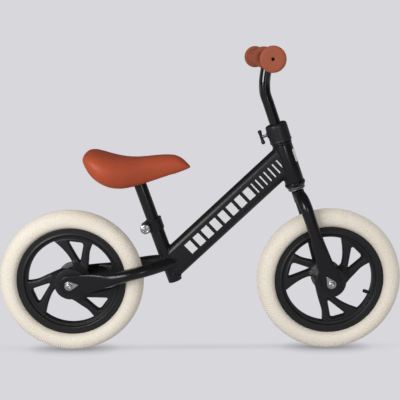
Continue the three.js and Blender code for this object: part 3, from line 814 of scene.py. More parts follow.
# ------------------------------------------------------------------ wheels
@dataclass
class Wheel:
    """One wheel: cream tyre, moulded rim with three spoke pairs, bearings and valve."""

    end: str
    body: Body
    x: float
    spoke_angle: float
    finishes: Finishes
    tyre_r: float = 148.5
    ribs: int = 186
    valve_turn: float = -62.5
    hub_half: float = 31.0
    hub_r: float = 32.5
    bearing_in: float = 22.7

    def placing(self) -> Placing:
        """The axle's place."""
        return Placing((self.x, AXLE_Z), True)

    def tyre(self) -> None:
        """Casing of a smooth section turned about the axle, with fine ribs across its tread.

        The skin sinks by depth (1/2 - cos(turn rib) / 2)^2, the depth drifting along the tread with
        a few slow waves, and by exp(-(distance / width)^2) over two rings on each side.
        """
        half = [(105, 8.4), (111.8, 8.8), (112.4, 11.6), (114.6, 17.0), (118.6, 21.2), (124.5, 23.4),
                (130.5, 23.2), (137, 20.8), (142.6, 16), (146.6, 9), (148.2, 3.8)]
        outline = half + [(self.tyre_r, 0)] + [(r, -y) for r, y in reversed(half)]
        outer = path_through(outline, 70)
        liner = path_through([(105, -6), (112, -6.4), (118, -15), (127, -19.5), (138, -14.5), (143.5, 0),
                              (138, 14.5), (127, 19.5), (118, 15), (112, 6.4), (105, 6)], 18)
        profile = np.concatenate([outer, liner])
        steps = self.ribs * 5
        points = turned(profile, steps)
        radius = np.hypot(points[..., 0], points[..., 1])
        across = np.abs(points[..., 2])
        turn = np.arange(steps)[:, None] / steps
        rib = (0.5 - 0.5 * np.cos(TURN * (turn * self.ribs + across * 0.03))) ** 2
        drift = 0.75 + 0.25 * np.sin(TURN * (turn * 23 + 0.2)) * np.cos(TURN * turn * 9)
        skin = np.arange(len(profile)) < len(outer)
        depth = 0.75 * drift * rib * ease(radius, 117, 124) * ease(across, 3.4, 5.2)
        rings = np.exp(-((across - 3.6) / 0.8) ** 2) + np.exp(-((across - 11.2) / 0.8) ** 2)
        depth = (depth + 0.6 * rings * (radius > 130)) * skin
        normal = np.stack([radius - 127, points[..., 2]], -1)
        normal /= np.linalg.norm(normal, axis=-1, keepdims=True)
        points[..., :2] *= (1 - depth * normal[..., 0] / radius)[..., None]
        points[..., 2] -= depth * normal[..., 1]
        shell = Shell().grid(self.placing()(points), rows=True)
        shell.piece(f"{self.end}_tyre_cream", self.body, Slot.CREAM_TYRE, self.finishes.tyre,
                    [f"{self.end}_tyre"], crease=60)

    def rim_profile(self) -> Array:
        """Rim section: a broad textured flange each side, a rolled inner lip and a barrel.

        Returns:
            Closed (radius, height) outline.
        """
        half = [(90.6, 8.2), (95.6, 8.8), (96.9, 12.2), (99.4, 13.6), (102, 12.2), (111.4, 12.9),
                (112.3, 11.8), (112, 9.6), (103, 9), (98.6, 5)]
        corners = half + [(r, -y) for r, y in reversed(half)]
        edge = [1.2, 0.8, 1.2, 1.6, 1.4, 0.9, 0.6, 0.4, 0.8, 0.8]
        return rounded(corners, edge + edge[::-1], 6)

    def hub_profile(self) -> Array:
        """Hub section: a disc at each end round a bearing seat, and a waisted core between them.

        Returns:
            Closed (radius, height) outline.
        """
        end, seat = self.hub_half, self.bearing_in - 0.3
        half = [(9, seat), (11.3, seat), (11.3, end - 1), (14, end), (self.hub_r - 1.5, end),
                (self.hub_r, end - 1.5), (self.hub_r, end - 4), (22, end - 6.5), (20.5, 10)]
        corners = half + [(r, -y) for r, y in reversed(half)]
        return rounded(corners, 0.9, 5)

    def spoke_band(self) -> Array:
        """Grid of one spoke pair: the band between the window's outline and the pair's outline.

        Both outlines are read as distance from the window's middle against angle. Across the band
        runs a closed section with eased edges and a slightly crowned face, which thickens to the hub.

        Returns:
            (angles, section points, 3) points about the axle.
        """
        behind = [(16, -90), (30, -66), (38, -50), (52, -33), (72, -22), (92, -19.6)]
        ahead = [(92, 32), (70, 23.7), (50, 13.2), (36, 4), (16, -2)]

        def flat(pairs: Sequence[tuple]) -> Array:
            """Points of (radius, degrees) pairs."""
            r, a = np.asarray(pairs, float).T
            return np.stack([r * np.cos(np.radians(a)), r * np.sin(np.radians(a))], -1)

        rim_arc = [(92, a) for a in np.linspace(-19.6, 32, 9)[1:-1]]
        outer = np.concatenate([path_through(flat(behind), 60), flat(rim_arc),
                                path_through(flat(ahead), 60)])
        inner = rounded(flat([(84.4, 14), (84.4, -8.4), (43.5, -15)]), 7.5, 12)
        middle = flat([(70, -3.7)])[0]
        angle = np.arange(168) * TURN / 168

        def reach(outline: Array) -> Array:
            """Distance from the middle to an outline at each angle.

            Args:
                outline: its (x, z) points.

            Returns:
                One distance for each angle.
            """
            closed = np.concatenate([outline, outline[:1]])
            dense = np.concatenate([np.linspace(a, b, 12) for a, b in zip(closed[:-1], closed[1:])])
            d = dense - middle
            at = np.arctan2(d[:, 1], d[:, 0]) % TURN
            order = np.argsort(at)
            return np.interp(angle, at[order], np.hypot(*d.T)[order], period=TURN)

        near, far = reach(inner)[:, None], reach(outer)[:, None]
        inset = np.array([0, 0.3, 2.6, 3.2, 3.2, 3.2, 3.2, 3.2, 3.2, 3.2, 2.4, 1.5, 0.5, 0])
        along = np.array([0, 0, 0, 0, 0.16, 0.34, 0.5, 0.66, 0.84, 1, 1, 1, 1, 1])
        drop = np.array([4.4, 3.6, 0.8, 0, 0, 0, 0, 0, 0, 0, 0.2, 0.5, 1.3, 2.6])
        middle_run = (near + 3.2) + (far - near - 6.4) * along
        run = np.where(along <= 0, near + inset, np.where(along >= 1, far - inset, middle_run))
        x = middle[0] + run * np.cos(angle)[:, None]
        z = middle[1] + run * np.sin(angle)[:, None]
        from_hub = np.hypot(x, z)
        thick = 8.6 + 12.5 * (1 - ease(from_hub, 25, 46)) + 0.5 * np.sin(np.pi * along)[None] - drop[None]
        top = np.stack([x, thick, z], -1)
        return np.concatenate([top, across_y(top, -1)[:, ::-1]], axis=1)

    def moulding(self) -> None:
        """Rim, hub and three spoke pairs as one piece, then a grey ring on the inner face of each hub disc,
        which paints the light falling on that face.
        """
        shell = Shell().lathe(self.rim_profile(), self.placing(), 160)
        shell.lathe(self.hub_profile(), self.placing(), 72)
        offset = np.array([self.x, 0, AXLE_Z])
        for k in range(3):
            shell.grid(spun(self.spoke_band(), self.spoke_angle + 120 * k) + offset, rows=True)
        shell.piece(f"{self.end}_wheel_moulding", self.body, Slot.MOULDED_BLACK, self.finishes.moulded,
                    [f"{self.end}_wheel"], crease=34)
        # Grey rings on the hub discs' inner faces: painted light, a lighter tone where light falls on those
        # faces.
        for side, sign in SIDES:
            low = self.hub_half - 5.6
            ring = across_y(self.placing()(turned(ring_profile(21.0, 31.2, low, low + 1.5), 72)), sign)
            Shell().grid(ring, rows=True).piece(
                f"{self.end}_hub_ring_{side}", self.body, Slot.MOULDED_BLACK, self.finishes.grey)

    def bearings(self) -> None:
        """Sealed bearings: an outer race, a sunk seal line and an inner race, each side."""
        low, high = self.bearing_in, self.bearing_in + 7
        corners = [(4.3, low), (11, low), (11, high), (9.3, high), (9.1, high - 0.5), (6.4, high - 0.5),
                   (6.2, high), (4.3, high)]
        profile = rounded(corners, 0.25, 3)
        for side, sign in SIDES:
            points = across_y(self.placing()(turned(profile, 48)), sign)
            Shell().grid(points, rows=True).piece(
                f"{self.end}_bearing_{side}_races", self.body, Slot.BEARING_STEEL,
                self.finishes.bearing, [f"{self.end}_bearing_{side}"])

    def valve(self) -> None:
        """Valve through the rim towards the hub, with a ribbed cap: r = r0 (1 + 0.05 cos(14 a))."""
        turn = self.spoke_angle + self.valve_turn
        stem = rounded([(0, 84), (2, 84), (2, 96), (3.4, 98), (3.4, 103), (5, 104), (5, 105), (0, 105)], 0.5)
        cap = rounded([(0, 77.6), (2.6, 77.6), (3.7, 79), (3.7, 88.6), (2.4, 89), (0, 89)], 0.6)
        for name, profile, node in (("valve_stem_moulded", stem, "valve_stem"),
                                    ("valve_cap_ribbed", cap, "valve_cap")):
            points = turned(profile, 56)
            if node == "valve_cap":
                rib = 1 + 0.05 * np.cos(14 * np.arange(56) * TURN / 56)[:, None]
                body = ease(points[..., 2], 79, 80) * (1 - ease(points[..., 2], 87.5, 88.5))
                points[..., :2] *= (1 + (rib - 1) * body)[..., None]
            out = np.stack([points[..., 2], points[..., 0], points[..., 1]], -1)
            placed = spun(out, turn) + np.array([self.x, 0, AXLE_Z])
            Shell().grid(placed, rows=True, columns=False).piece(
                f"{self.end}_{name}", self.body, Slot.TUBE_RUBBER, self.finishes.tube,
                [f"{self.end}_{node}"])

    def build(self) -> None:
        """Make every piece that turns with the wheel."""
        self.tyre()
        self.moulding()
        self.bearings()
        self.valve()


@dataclass
class AxleEnds:
    """Spacers, teardrop washers and bolt heads at both ends of one axle."""

    end: str
    body: Body
    washer_angle: float
    x: float
    finishes: Finishes
    dropout_in: float = 37.3
    dropout_t: float = 5.4

    def teardrop(self) -> Array:
        """Washer: the band between its hole and a round head drawn to a point, with eased edges.

        The outline's distance is the head's radius, or the tangent line's to the point:
        r / cos(angle - tangent angle), whichever belongs to the angle.

        Returns:
            (angles, section points, 3) points about the axle.
        """
        radius, tip = 9.4, 18.8
        angle = np.arange(144) * TURN / 144
        off = np.abs((angle + math.pi) % TURN - math.pi)
        touch = math.acos(radius / (tip + 1.5))
        line = radius / np.cos(np.minimum(np.abs(off - touch), 1.2))
        outer = np.where(off < touch, np.minimum(line, tip), radius)
        base = self.dropout_in + self.dropout_t + 0.3
        rows = []
        for reach, height in ((4.9, 0.0), (4.9, 1.7), (5.2, 2.0)):
            rows.append(np.stack([np.full(144, reach), np.full(144, base + height)], -1))
        for inset, height in ((0.7, 2.0), (0.25, 1.75), (0.0, 1.3), (0.0, 0.0)):
            rows.append(np.stack([outer - inset, np.full(144, base + height)], -1))
        run = np.stack(rows, 1)
        return np.stack([run[..., 0] * np.cos(angle)[:, None], run[..., 1],
                         run[..., 0] * np.sin(angle)[:, None]], -1)

    def bolt(self) -> Array:
        """Domed head with a hexagon socket: socket radius = 2.6 / cos(angle from its flat).

        Returns:
            (angles, section points, 3) points about the axle.
        """
        base = self.dropout_in + self.dropout_t + 2.6
        count = 96
        angle = np.arange(count) * TURN / count
        flat = 2.6 / np.cos((angle + math.pi / 6) % (math.pi / 3) - math.pi / 6)
        round_part = [(6.8, 0.0), (6.8, 2.2), (6.6, 2.9), (5.9, 3.7), (4.9, 4.35), (3.9, 4.7)]
        rows = [(np.full(count, r), np.full(count, base + h)) for r, h in round_part]
        rows += [(flat + 0.25, np.full(count, base + 4.8)), (flat, np.full(count, base + 4.55)),
                 (flat, np.full(count, base + 2.2)), (np.zeros(count), np.full(count, base + 1.4))]
        shank = [(np.zeros(count), np.full(count, 30.0)), (np.full(count, 3.0), np.full(count, 30.0)),
                 (np.full(count, 3.0), np.full(count, base))]
        reach = np.stack([r for r, _ in shank + rows], 1)
        height = np.stack([h for _, h in shank + rows], 1)
        return np.stack([reach * np.cos(angle)[:, None], height, reach * np.sin(angle)[:, None]], -1)

    def build(self) -> None:
        """Make both ends' pieces."""
        offset = np.array([self.x, 0, AXLE_Z])
        for side, sign in SIDES:
            washer = across_y(spun(self.teardrop(), self.washer_angle), sign) + offset
            Shell().grid(washer, rows=True).piece(
                f"{self.end}_teardrop_washer_{side}", self.body, Slot.BRIGHT_STEEL,
                self.finishes.bright, [f"{self.end}_axle_washer_{side}"], crease=28)
            bolt = across_y(self.bolt(), sign) + offset
            Shell().grid(bolt, rows=True, columns=False).piece(
                f"{self.end}_socket_bolt_{side}", self.body, Slot.BRIGHT_STEEL,
                self.finishes.bright, [f"{self.end}_axle_bolt_{side}"], crease=28)
            spacer = turned(ring_profile(4.3, 7, 30, 37), 48)
            placed = across_y(Placing((self.x, AXLE_Z), True)(spacer), sign)
            Shell().grid(placed, rows=True).piece(
                f"{self.end}_turned_spacer_{side}", self.body, Slot.BEARING_STEEL,
                self.finishes.bearing, [f"{self.end}_axle_spacer_{side}"])


# ------------------------------------------------------------------ frame
@dataclass
class MainFrame:
    """Beam, stays, head tube and seat tube with their weld beads, and the seat clamp."""

    finishes: Finishes
    slope: float = math.radians(43.1)
    middle: tuple = (-39.0, 202.0)
    beam_half_height: float = 30.5
    beam_half_width: float = 14.0
    head_r: float = 19.5
    head_span: tuple = (217.0, 297.0)
    seat_r: float = 14.3
    seat_bore: float = 13.05
    seat_length: float = 138.0
    clamp_height: float = 126.0
    clamp_back: float = 19.5

    def beam_section(self, count: int = 80, grow: float = 0.0) -> Array:
        """Flat oval: two half circles joined by straight sides, (up, across) pairs.

        Args:
            count: points round it.
            grow: how much it is widened all round.

        Returns:
            (count, 2) pairs.
        """
        w = self.beam_half_width + grow
        lift = self.beam_half_height - self.beam_half_width
        half = np.linspace(0, math.pi, count // 2)
        top = np.stack([lift + w * np.sin(half), w * np.cos(half)], -1)
        bottom = -top
        return np.concatenate([top, bottom])

    def beam_point(self, up: Array, across: Array, foot: Sequence[float], ahead: Array) -> Array:
        """Point of the beam's side whose distance ahead of a tube's axis is given.

        Args:
            up: height of each point across the beam, from its middle line.
            across: distance of each point from the middle plane.
            foot: a point (x, z) of the tube's axis.
            ahead: how far ahead of the tube's axis each point lies.

        Returns:
            (points, 3) points.
        """
        d = np.array([math.cos(self.slope), math.sin(self.slope)])
        h = np.array([-d[1], d[0]])
        normal = np.array([math.cos(TILT), math.sin(TILT)])
        start = np.array(self.middle) + up[:, None] * h
        t = (ahead - (start - np.array(foot)) @ normal) / (d @ normal)
        flat = start + t[:, None] * d
        return np.stack([flat[:, 0], across, flat[:, 1]], -1)

    def beam(self) -> None:
        """Beam between the middle planes of the seat tube and the head tube."""
        section = self.beam_section()
        low = self.beam_point(section[:, 0], section[:, 1], SEAT_FOOT, np.zeros(len(section)))
        high = self.beam_point(section[:, 0], section[:, 1], STEER_FOOT, np.zeros(len(section)))
        share = np.linspace(0, 1, 60)[:, None, None]
        Shell().grid(low[None] * (1 - share) + high[None] * share, ends=True).piece(
            "beam_flat_oval", Body.FRAME, Slot.FRAME_PAINT, self.finishes.beam, ["main_beam"])

    def bead(self, line: Array, name: str, radius: float = 1.9, pitch: float = 3.4) -> None:
        """Weld bead along a closed line: a round section that swells once every few millimetres.

        Radius = mean (1 + 0.14 cos(turn length / pitch)).

        Args:
            line: (points, 3) closed line that it follows.
            name: the piece's name.
            radius: its mean radius.
            pitch: length of one ripple.
        """
        closed = np.concatenate([line, line[:1]])
        length = np.concatenate([[0], np.cumsum(np.linalg.norm(np.diff(closed, axis=0), axis=1))])
        ripples = max(8, round(length[-1] / pitch))
        count = ripples * 6
        at = np.arange(count) * length[-1] / count
        path = np.stack([np.interp(at, length, closed[:, k]) for k in range(3)], -1)
        tangent = np.roll(path, -1, 0) - np.roll(path, 1, 0)
        tangent /= np.linalg.norm(tangent, axis=1, keepdims=True)
        out = path - path.mean(0)
        out -= tangent * np.sum(out * tangent, 1, keepdims=True)
        out /= np.linalg.norm(out, axis=1, keepdims=True)
        over = np.cross(tangent, out)
        size = radius * (1 + 0.14 * np.cos(np.arange(count) * TURN / 6))
        angle = np.arange(12) * TURN / 12
        points = path[:, None] + size[:, None, None] * (
            np.cos(angle)[None, :, None] * out[:, None] + np.sin(angle)[None, :, None] * over[:, None])
        Shell().grid(points, rows=True).piece(name, Body.FRAME, Slot.FRAME_PAINT, self.finishes.frame,
                                              crease=70)

    def beads(self) -> None:
        """Beads where the beam meets the seat tube and the head tube.

        The line is the beam's section carried to the tube's skin, r^2 - across^2 ahead of its axis.
        """
        for name, foot, radius, sign in (("weld_beam_to_seat_tube", SEAT_FOOT, self.seat_r, 1),
                                         ("weld_beam_to_head_tube", STEER_FOOT, self.head_r, -1)):
            section = self.beam_section(120, 0.2)
            across = np.clip(section[:, 1], -radius + 0.25, radius - 0.25)
            ahead = sign * np.sqrt(radius ** 2 - across ** 2)
            self.bead(self.beam_point(section[:, 0], across, foot, ahead), name)

    def chainstays(self) -> None:
        """Stays: a round tube that bows outwards and flattens into a rounded plate at the axle.

        The plate's half height past the axle follows its circle, sqrt(r^2 - d^2).
        """
        x = -WHEEL_BASE / 2
        plate_y, plate_r = 40.0, 20.0
        route = [(-47, 0, 189), (-58, 6.5, 187.6), (-72, 16.5, 185.4), (-90, 28, 182), (-116, 38.6, 176.6),
                 (-142, 42.6, 171), (-168, 42.6, 164.5), (-205, 42, 157),
                 (x + 20, plate_y, 150.5), (x, plate_y, AXLE_Z),
                 (x - plate_r + 0.2, plate_y, AXLE_Z - 1.6)]
        for side, sign in SIDES:
            path = path_through(route, 150)
            past = np.clip(x - path[:, 0], 0, plate_r - 0.15)
            share = np.clip((-47 - path[:, 0]) / (-47 - x), 0, 1)
            tall = smooth_through([0, 0.5, 0.66, 0.8, 0.92, 1], [12.7, 12.7, 15, 18.3, 19.8, 20], share)
            tall = np.where(past > 0, np.sqrt(plate_r ** 2 - past ** 2), tall)
            thick = smooth_through([0, 0.5, 0.66, 0.8, 0.88, 1], [12.7, 12.7, 8.6, 4.2, 2.7, 2.7], share)
            power = 2 + 5 * ease(share, 0.6, 0.86)
            points = across_y(swept(path, (0, 1, 0), oval(thick, tall, power, 56)), sign)
            Shell().grid(points, ends=True).piece(
                f"chainstay_{side}_tube", Body.FRAME, Slot.FRAME_PAINT, self.finishes.frame,
                [f"{side}_chainstay"], crease=38)
            self.bead(self.stay_joint(points), f"weld_chainstay_{side}", 1.5)

    def stay_joint(self, points: Array) -> Array:
        """Line where a stay's skin meets the seat tube's skin or the beam's flat side.

        Args:
            points: the stay's grid.

        Returns:
            One point for each line along the stay.
        """
        foot_x, foot_z = SEAT_FOOT
        ahead = (points[..., 0] - foot_x) * math.cos(TILT) + (points[..., 2] - foot_z) * math.sin(TILT)
        skin = np.where(ahead > 0, self.beam_half_width, 0.0)
        behind = (ahead <= 0) & (ahead > -self.seat_r)
        skin = np.where(behind, np.sqrt(np.clip(self.seat_r ** 2 - ahead ** 2, 0, None)), skin)
        outside = np.abs(points[..., 1]) > skin + 0.3
        first = np.argmax(outside, axis=0)
        return points[first, np.arange(points.shape[1])]

    def head(self) -> None:
        """Head tube, its two cups and a blank label wrapped round its front."""
        low, high = self.head_span
        place = Placing(STEER_FOOT)
        Shell().lathe(ring_profile(self.head_r - 2, self.head_r, low, high, 0.7), place, 120).piece(
            "head_tube_turned", Body.FRAME, Slot.FRAME_PAINT, self.finishes.frame, ["head_tube"])
        for name, end, up, flange, depth in (("lower", low, -1, 21.2, 9.4), ("upper", high, 1, 20.4, 6.0)):
            corners = [(14.6, -11), (16.7, -11), (16.7, 0.3), (flange - 0.6, 0.3), (flange, 1.6),
                       (flange, depth * 0.5), (flange - 2.2, depth * 0.86), (flange - 3.2, depth),
                       (18.6, depth) if name == "upper" else (17.6, depth), (17.6, 2), (14.6, 2)]
            if name == "upper":
                corners[6:9] = [(flange, depth - 0.8), (flange - 0.8, depth)]
            profile = rounded([(r, end + up * s) for r, s in corners], 0.7, 4)
            Shell().lathe(profile, place, 110).piece(
                f"{name}_headset_cup_pressed", Body.FRAME, Slot.FRAME_PAINT, self.finishes.frame,
                [f"{name}_headset_cup"])
        self.head_label()

    def head_label(self) -> None:
        """Sticker: a thin sheet wrapped round the head tube, with rounded corners.

        Rings of one outline, (turn, height), shrink to its middle below and above the sheet's edge.
        """
        half_turn, low, high = math.radians(41), 257.0, 284.0
        corners = rounded([(-1, -1), (1, -1), (1, 1), (-1, 1)], 0.25, 6)
        closed = np.concatenate([corners, corners[:1]])
        outline = np.concatenate([np.linspace(a, b, 8, endpoint=False)
                                  for a, b in zip(closed[:-1], closed[1:])])
        share = np.linspace(0, 1, 10)
        share = np.concatenate([share, share[::-1]])[:, None]
        radius = self.head_r + np.repeat([0.05, 0.3], 10)[:, None]
        turn = share * outline[:, 0] * half_turn
        height = (low + high) / 2 + share * outline[:, 1] * (high - low) / 2
        sheet = np.stack([radius * np.cos(turn), radius * np.sin(turn), height], -1)
        Shell().grid(leaned(sheet, STEER_FOOT)).piece(
            "head_tube_label", Body.FRAME, Slot.FRAME_PAINT, self.finishes.label, crease=50)

    def seat_tube(self) -> None:
        """Open seat tube with eased ends."""
        place = Placing(SEAT_FOOT)
        profile = ring_profile(self.seat_bore, self.seat_r, 0, self.seat_length, 0.6)
        Shell().lathe(profile, place, 110).piece(
            "seat_tube_drawn", Body.FRAME, Slot.FRAME_PAINT, self.finishes.frame, ["seat_tube"])

    def seat_clamp(self) -> None:
        """Collar with a rolled edge and two ears, its skewer, adjusting nut and washer."""
        place = Placing(SEAT_FOOT)
        low, high = self.clamp_height - 12, self.clamp_height + 12
        corners = [(self.seat_r + 0.2, low), (16.9, low), (16.9, high - 2.5), (17.6, high - 1.6),
                   (17.6, high + 0.4), (13.2, high + 0.4), (13.2, high - 0.2),
                   (self.seat_r + 0.2, high - 0.6)]
        shell = Shell().lathe(rounded(corners, 0.6, 4), place, 110)
        for sign in (-1, 1):
            rise = np.linspace(-1, 1, 34)
            half = 9.2 * np.sqrt(np.clip(1 - np.abs(rise) ** 6, 0.001, 1))
            section = rounded([(-1, -1), (1, -1), (1, 1), (-1, 1)], 0.3, 5)
            a = -self.clamp_back + 4.2 + section[None, :, 0] * (4.5 + half[:, None])
            y = sign * 7.4 + section[None, :, 1] * 6.2
            s = self.clamp_height + np.broadcast_to(9.0 * rise[:, None], a.shape)
            block = np.stack([np.clip(a, -26.2, -9.0), np.broadcast_to(y, a.shape), s], -1)
            shell.grid(leaned(block, SEAT_FOOT), ends=True)
        shell.piece("seat_clamp_collar_cast", Body.FRAME, Slot.FRAME_PAINT, self.finishes.frame,
                    ["seat_clamp_collar"])
        out = 13.9
        nut = rounded([(2.9, out), (9.2, out), (10.4, out + 1.3), (10.4, out + 5.6), (9.3, out + 7.6),
                       (6.4, out + 8.6), (5.6, out + 8.0), (4.6, out + 8.0), (3.8, out + 9.3), (0, out + 9.4),
                       (0, out + 8.2), (2.9, out + 8.2)], 0.7, 4)
        self.on_clamp(nut, -1, "seat_clamp_nut_domed", "seat_clamp_nut", 84, self.finishes.bright, 24)
        washer = ring_profile(3.2, 9, 13.9, 17.2, 0.8)
        self.on_clamp(washer, 1, "seat_clamp_dished_washer", "seat_clamp_washer", 72, self.finishes.bright)
        skewer = rounded([(0, -21.6), (2.5, -21.6), (2.5, 16.2), (0, 16.2)], 0.5, 3)
        self.on_clamp(skewer, 1, "seat_clamp_rod", "seat_clamp_skewer", 40, self.finishes.bright)

    def on_clamp(self, profile: Array, sign: float, name: str, node: str, steps: int,
                 material: bpy.types.Material, knurl: int = 0) -> None:
        """A turned piece along the clamp's screw, with knurl ribs on its widest part.

        Args:
            profile: (radius, distance from the middle plane) outline.
            sign: 1 for the left end, -1 for the right.
            name: the piece's name.
            node: CAD node that it replaces.
            steps: turns of the profile in a full circle.
            material: its finish.
            knurl: ribs round its widest part, if any.
        """
        points = turned(profile, steps)
        if knurl:
            radius = np.hypot(points[..., 0], points[..., 1])
            rib = 0.18 * np.cos(knurl * np.arange(steps) * TURN / steps)[:, None]
            grow = 1 + rib * ease(radius, 9.9, 10.3) / np.maximum(radius, 1)
            points[..., :2] *= grow[..., None]
        laid = across_y(on_axle(points), sign) + np.array([-self.clamp_back, 0, self.clamp_height])
        closed = abs(profile[0, 0]) > 1e-9
        Shell().grid(leaned(laid, SEAT_FOOT), rows=True, columns=closed).piece(
            name, Body.FRAME, Slot.BRIGHT_STEEL, material, [node], crease=26)

    def clamp_lever(self) -> None:
        """Cam lever: a barrel on its pivot, and a curved, flattened arm lying forwards and down."""
        dip = math.radians(58)
        along = np.linspace(-5.8, 42.5, 60)
        bow = 1.6 * np.sin(np.clip(along / 40, 0, 1) * math.pi)
        path = np.stack([along, 23.6 + bow, np.zeros(60)], -1)
        taper = np.where(along < 0, np.sqrt(np.clip(1 - (along / 6) ** 2, 0.003, 1)), 1)
        taper = np.where(along > 38, np.sqrt(np.clip(1 - ((along - 38) / 4.7) ** 2, 0.003, 1)), taper)
        wide = (6.2 - 1.4 * ease(along, 4, 34)) * taper
        arm = swept(path, (0, 1, 0), oval(2.5 * taper, wide, 2.6, 32))
        barrel = turned(rounded([(0, -7), (6, -7), (6, 7), (0, 7)], 1.2, 5), 56) + np.array([0, 23.6, 0])
        shell = Shell()
        for points, ends, rows, columns in ((arm, True, False, True), (barrel, False, True, False)):
            turned_down = spun(points, -math.degrees(dip))
            moved = turned_down + np.array([-self.clamp_back, 0, self.clamp_height])
            shell.grid(leaned(moved, SEAT_FOOT), rows=rows, columns=columns, ends=ends)
        shell.piece("seat_clamp_cam_lever", Body.CLAMP_LEVER, Slot.GLOSS_PAINT, self.finishes.gloss,
                    ["seat_clamp_lever"])

    def build(self) -> None:
        """Make the frame's pieces."""
        self.beam()
        self.beads()
        self.chainstays()
        self.head()
        self.seat_tube()
        self.seat_clamp()
        self.clamp_lever()


# ------------------------------------------------------------------ fork
@dataclass
class Fork:
    """Two legs that bend into the steerer, the steerer, and the clamp sleeve with its hand screw."""

    finishes: Finishes
    leg_r: float = 12.7
    crown: float = 188.0
    plate_y: float = 40.0
    plate_r: float = 18.0
    steerer_r: float = 12.7
    steerer_bore: float = 11.45
    steerer_span: tuple = (176.0, 335.0)
    screw_height: float = 325.0

    def legs(self) -> None:
        """Legs: round at the crown, flattened to a rounded plate at the axle.

        The plate's half width below the axle follows its circle, sqrt(r^2 - d^2).
        """
        plate = (RAKE, self.plate_y)
        route = [(*plate, -self.plate_r + 0.2), (*plate, 0), (*plate, 18),
                 (RAKE, 41.2, 42), (RAKE, 41.5, 70), (RAKE, 41.5, 105), (RAKE, 41, 145),
                 (RAKE, 38.6, 167), (RAKE * 0.8, 30, 180), (RAKE * 0.4, 17, 186.4), (0, 3, self.crown)]
        heights = [0, 20, 44, 66, 92, 110, 200]
        halves = [2.7, 2.7, 6.6, 10, 12.3, self.leg_r, self.leg_r]
        for side, sign in SIDES:
            path = path_through(route, 150)
            height = path[:, 2]
            below = np.clip(-height, 0, self.plate_r - 0.15)
            wide = smooth_through([0, 30, 60, 92, 105, 200],
                                  [self.plate_r, 17.4, 15.4, 13.2, self.leg_r, self.leg_r],
                                  np.clip(height, 0, 200))
            wide = np.where(below > 0, np.sqrt(self.plate_r ** 2 - below ** 2), wide)
            thick = smooth_through(heights, halves, np.clip(height, 0, 200))
            power = 2 + 5 * (1 - ease(height, 12, 52))
            points = across_y(swept(path, (0, 1, 0.001), oval(thick, wide, power, 56)), sign)
            Shell().grid(leaned(points, STEER_FOOT), ends=True).piece(
                f"fork_leg_{side}_tube", Body.FORK, Slot.FRAME_PAINT, self.finishes.frame,
                [f"{side}_fork_leg"], crease=38)

    def steerer(self) -> None:
        """Steerer tube, and the race of the lower bearing round it, above the legs."""
        place = Placing(STEER_FOOT)
        profile = ring_profile(self.steerer_bore, self.steerer_r, *self.steerer_span, 0.5)
        Shell().lathe(profile, place, 96).piece(
            "steerer_drawn", Body.FORK, Slot.FRAME_PAINT, self.finishes.frame, ["steerer_tube"])
        race = rounded([(13, 201.1), (16.5, 201.1), (17.6, 203.1), (14.6, 205.7), (13, 205.7)], 0.5, 4)
        Shell().lathe(race, place, 96).piece(
            "crown_race_turned", Body.FORK, Slot.BEARING_STEEL, self.finishes.bearing, ["crown_race"])

    def cover(self) -> None:
        """Clamp sleeve: a slightly tapered cup with a rounded shoulder and a lip round the stem."""
        corners = [(17.3, 303.2), (21.6, 303.2), (22.4, 304.6), (22.1, 307.4), (21.8, 308.6),
                   (22.3, 334.5), (21.6, 340.2), (17.8, 342.4), (14.6, 342.4), (13.0, 341.2),
                   (12.0, 339.2), (11.8, 336.3), (17.3, 336.3)]
        edge = [0.4, 0.8, 0.8, 0.8, 0.8, 4.0, 3.0, 2.0, 1.0, 0.8, 0.5, 0.3, 0.3]
        Shell().lathe(rounded(corners, edge, 6), Placing(STEER_FOOT), 128).piece(
            "stem_clamp_sleeve", Body.FORK, Slot.MOULDED_BLACK, self.finishes.cover, ["stem_clamp_cover"])
        boss = rounded([(3.6, 0), (6.6, 0), (6.2, 2.6), (3.6, 2.6)], 0.6, 4)
        points = turned(boss, 56)
        back = np.stack([-points[..., 2] - 20.6, points[..., 0], points[..., 1]], -1)
        Shell().grid(leaned(back + np.array([0, 0, self.screw_height]), STEER_FOOT), rows=True).piece(
            "stem_clamp_boss", Body.FORK, Slot.MOULDED_BLACK, self.finishes.cover)

    def hand_screw(self) -> None:
        """Hand screw: threaded stud (radius = mean + 0.18 cos of height) and a waisted cross bar."""
        height = np.linspace(-11.7, -33.2, 110)
        radius = 2.8 + 0.18 * np.cos(height * TURN)
        stud = np.stack([np.concatenate([[0], radius, [0]]),
                         np.concatenate([[height[0]], height, [height[-1]]])], -1)
        points = turned(stud, 40)
        laid = np.stack([points[..., 2], points[..., 0], points[..., 1]], -1)
        lift = np.array([0, 0, self.screw_height])
        Shell().grid(leaned(laid + lift, STEER_FOOT), rows=True, columns=False).piece(
            "hand_screw_stud", Body.CLAMP_SCREW, Slot.BRIGHT_STEEL, self.finishes.bearing,
            ["clamp_screw_stud"], crease=60)
        bar = rounded([(0, -15), (2.6, -14.7), (4.1, -12.6), (3.8, -9), (3.0, -4), (3.5, 0), (3.0, 4),
                       (3.8, 9), (4.1, 12.6), (2.6, 14.7), (0, 15)], 2.0, 5)
        shell = Shell().grid(leaned(turned(bar, 48) + lift + np.array([-34.8, 0, 0]), STEER_FOOT),
                             rows=True, columns=False)
        shell.piece("hand_screw_bar", Body.CLAMP_SCREW, Slot.MOULDED_BLACK, self.finishes.cover,
                    ["clamp_screw_bar"])

    def build(self) -> None:
        """Make the fork's pieces."""
        self.legs()
        self.steerer()
        self.cover()
        self.hand_screw()


